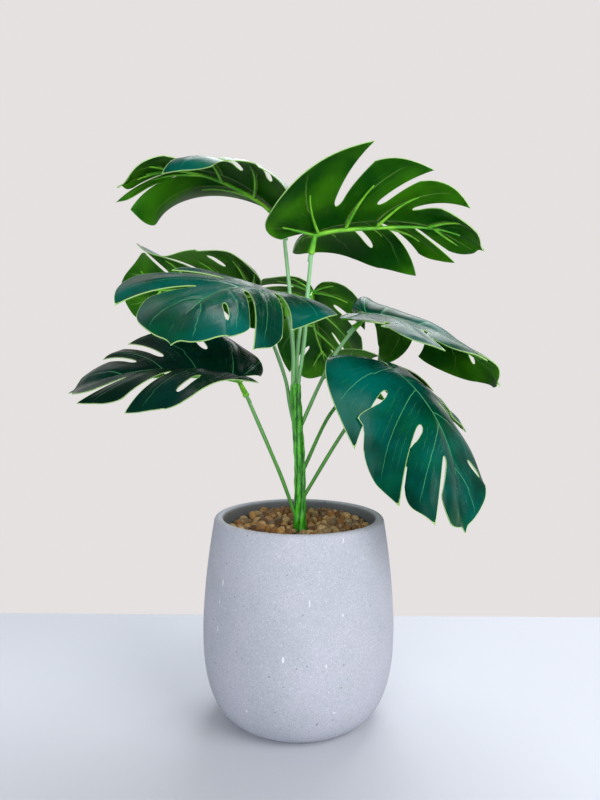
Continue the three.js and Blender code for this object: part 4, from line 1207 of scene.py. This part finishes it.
def concrete_material():
    n = Nodes("concrete")
    xyz = n.make("ShaderNodeSeparateXYZ")
    n.feed(xyz.inputs[0], n.place())
    x, y, z = xyz.outputs
    base = n.mix(n.span(n.noise(14, 4), 0.3, 0.7), linear(168, 172, 183), linear(178, 181, 193))
    base = n.mix(n.times(n.span(n.noise(30, 3), 0.5, 0.72), 0.2), base, linear(184, 179, 194))
    sand = n.noise(620, 3, roughness=0.8)
    base = n.mix(n.span(sand, 0.52, 0.66, 0.0, 0.2), base, linear(206, 208, 217))
    base = n.mix(n.span(sand, 0.48, 0.36, 0.0, 0.2), base, linear(142, 145, 156))
    speck = n.noise(1500, 2, roughness=0.7)
    base = n.mix(n.span(speck, 0.58, 0.70, 0.0, 0.7), base, linear(230, 230, 236))
    base = n.mix(n.span(speck, 0.42, 0.30, 0.0, 0.6), base, linear(130, 131, 142))
    pits = n.noise(420, 1)
    base = n.mix(n.span(pits, 0.27, 0.22, 0.0, 0.6), base, linear(104, 104, 114))
    from_axis = length_of(n, x, y)
    # painted shade: the inside of the pot above the gravel is drawn dark grey
    base = n.mix(n.times(painted_inner_shade(n, from_axis, z), 0.85), base, linear(84, 87, 84))
    base = add_nicks(n, base, from_axis, x, y, z)
    n.bump(n.math("ADD", n.times(speck, 0.5), n.span(pits, 0.30, 0.2, 0, -1)), 0.4 * MM, 0.6)
    return n.finish(base, 0.86, 0.3)


def foam_material():
    n = Nodes("filler foam")
    base = n.mix(n.noise(300, 3), linear(96, 74, 50), linear(132, 104, 74))
    n.bump(n.noise(900, 3), 0.6 * MM, 0.6)
    return n.finish(base, 0.9, 0.2)


def pebble_material():
    n = Nodes("pebbles")
    tint = n.attribute("tint")
    ramp = n.make("ShaderNodeValToRGB")
    colours = [linear(74, 50, 26), linear(128, 86, 40), linear(166, 126, 70), linear(190, 160, 108),
               linear(106, 92, 70), linear(146, 98, 44)]
    elements = ramp.color_ramp.elements
    while len(elements) < len(colours) + 1:
        elements.new(0.5)
    places = [0, *np.linspace(PALEST_GAP, 1, len(colours))]
    # the first stop, near-black brown, is the painted shade between the pebbles
    for element, position, colour in zip(elements, places, [linear(20, 13, 6), *colours]):
        element.position = position
        element.color = (*colour, 1)
    n.feed(ramp.inputs[0], tint)
    grain = n.noise(700, 4)
    base = n.mix(n.span(grain, 0.35, 0.7, 0.0, 0.45), ramp.outputs[0], linear(92, 66, 46))
    base = n.mix(n.span(n.noise(260, 2), 0.55, 0.75, 0.0, 0.4), base, linear(214, 192, 158))
    n.bump(grain, 0.6 * MM, 0.6)
    return n.finish(base, 0.78, 0.35)


# ---- camera, floor and light --------------------------------------------------------------

CAMERA = dict(distance=0.5461, height=0.2798, pitch=0.057, roll=0.007, lens=31.5, sensor=36)
TABLE_BACK = 0.208
TABLE_HALF_WIDTH = 1.6
TABLE_FRONT = -1.2


def make_camera():
    data = bpy.data.cameras.new("camera")
    data.lens, data.sensor_width = CAMERA["lens"], CAMERA["sensor"]
    data.clip_start, data.clip_end = 0.01, 20
    camera = bpy.data.objects.new("camera", data)
    bpy.context.scene.collection.objects.link(camera)
    pitch, roll = CAMERA["pitch"], CAMERA["roll"]
    forward = Vector((0, math.cos(pitch), -math.sin(pitch)))
    level_right = Vector((1, 0, 0))
    level_up = level_right.cross(forward)
    right = level_right * math.cos(roll) + level_up * math.sin(roll)
    up = level_up * math.cos(roll) - level_right * math.sin(roll)
    turned = Matrix((right, up, -forward)).transposed().to_4x4()
    camera.matrix_world = Matrix.Translation((0, -CAMERA["distance"], CAMERA["height"])) @ turned
    bpy.context.scene.camera = camera


def make_floor():
    mesh = bpy.data.meshes.new("floor")
    corners = [(-TABLE_HALF_WIDTH, TABLE_FRONT, 0), (TABLE_HALF_WIDTH, TABLE_FRONT, 0),
               (TABLE_HALF_WIDTH, TABLE_BACK, 0), (-TABLE_HALF_WIDTH, TABLE_BACK, 0)]
    mesh.from_pydata(corners, [], [(0, 1, 2, 3)])
    n = Nodes("floor")
    base = n.mix(n.noise(3, 2), linear(192, 196, 205), linear(196, 200, 208))
    mesh.materials.append(n.finish(base, 0.6, 0.2))
    floor = bpy.data.objects.new("floor", mesh)
    bpy.context.scene.collection.objects.link(floor)


def make_light(name, place, target, size, watts, colour):
    data = bpy.data.lights.new(name, "AREA")
    data.shape = "RECTANGLE"
    data.size, data.size_y = size
    data.energy = watts
    data.color = colour
    lamp = bpy.data.objects.new(name, data)
    lamp.location = place
    lamp.rotation_euler = (Vector(target) - Vector(place)).to_track_quat("-Z", "Y").to_euler()
    bpy.context.scene.collection.objects.link(lamp)


def make_world():
    """Soft light from all round, paler behind the object than elsewhere."""
    world = bpy.data.worlds.new("soft room")
    world.use_nodes = True
    tree = world.node_tree
    background = tree.nodes["Background"]
    directions = tree.nodes.new("ShaderNodeTexCoord")
    split = tree.nodes.new("ShaderNodeSeparateXYZ")
    tree.links.new(directions.outputs["Generated"], split.inputs[0])
    towards_wall = tree.nodes.new("ShaderNodeMapRange")
    tree.links.new(split.outputs[1], towards_wall.inputs[0])
    for socket, value in zip(towards_wall.inputs[1:5], (0.2, 0.6, 0.0, 1.0)):
        socket.default_value = value
    shade = tree.nodes.new("ShaderNodeMix")
    shade.data_type = "RGBA"
    tree.links.new(towards_wall.outputs[0], shade.inputs[0])
    shade.inputs[6].default_value = (*linear(142, 142, 146), 1)
    shade.inputs[7].default_value = (*linear(229, 225, 224), 1)
    tree.links.new(shade.outputs[2], background.inputs[0])
    bpy.context.scene.world = world


def make_lights():
    middle = (0, 0, 0.24)
    make_light("window", (1.0, -0.9, 0.9), middle, (1.0, 0.9), 17, (1.0, 0.98, 0.96))
    make_light("sky", (0.3, 0.9, 1.5), middle, (1.2, 1.2), 25, (0.95, 0.98, 1.0))
    make_light("fill", (-0.3, -1.6, 0.7), (0, -0.2, 0.05), (1.3, 0.9), 17, (0.96, 0.98, 1.0))


# ---- the object ---------------------------------------------------------------------------

make_camera()
make_floor()
make_world()
make_lights()
bpy.context.scene.view_settings.view_transform = "Standard"
blade_materials = [leaf_top_material(), leaf_under_material(), cut_edge_material()]
rib_green = rib_material()
stalk_green = stalk_material()
for leaf_name in LEAVES:
    whole = full_leaf(leaf_name)
    make_blade(leaf_name, whole, blade_materials)
    make_ribs(leaf_name, whole, rib_green)
    make_stalk(leaf_name, whole, stalk_green)
make_trunk(trunk_material())
make_pot(concrete_material())
make_gravel(pebble_material())
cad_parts["filler"].data.materials.clear()
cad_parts["filler"].data.materials.append(foam_material())
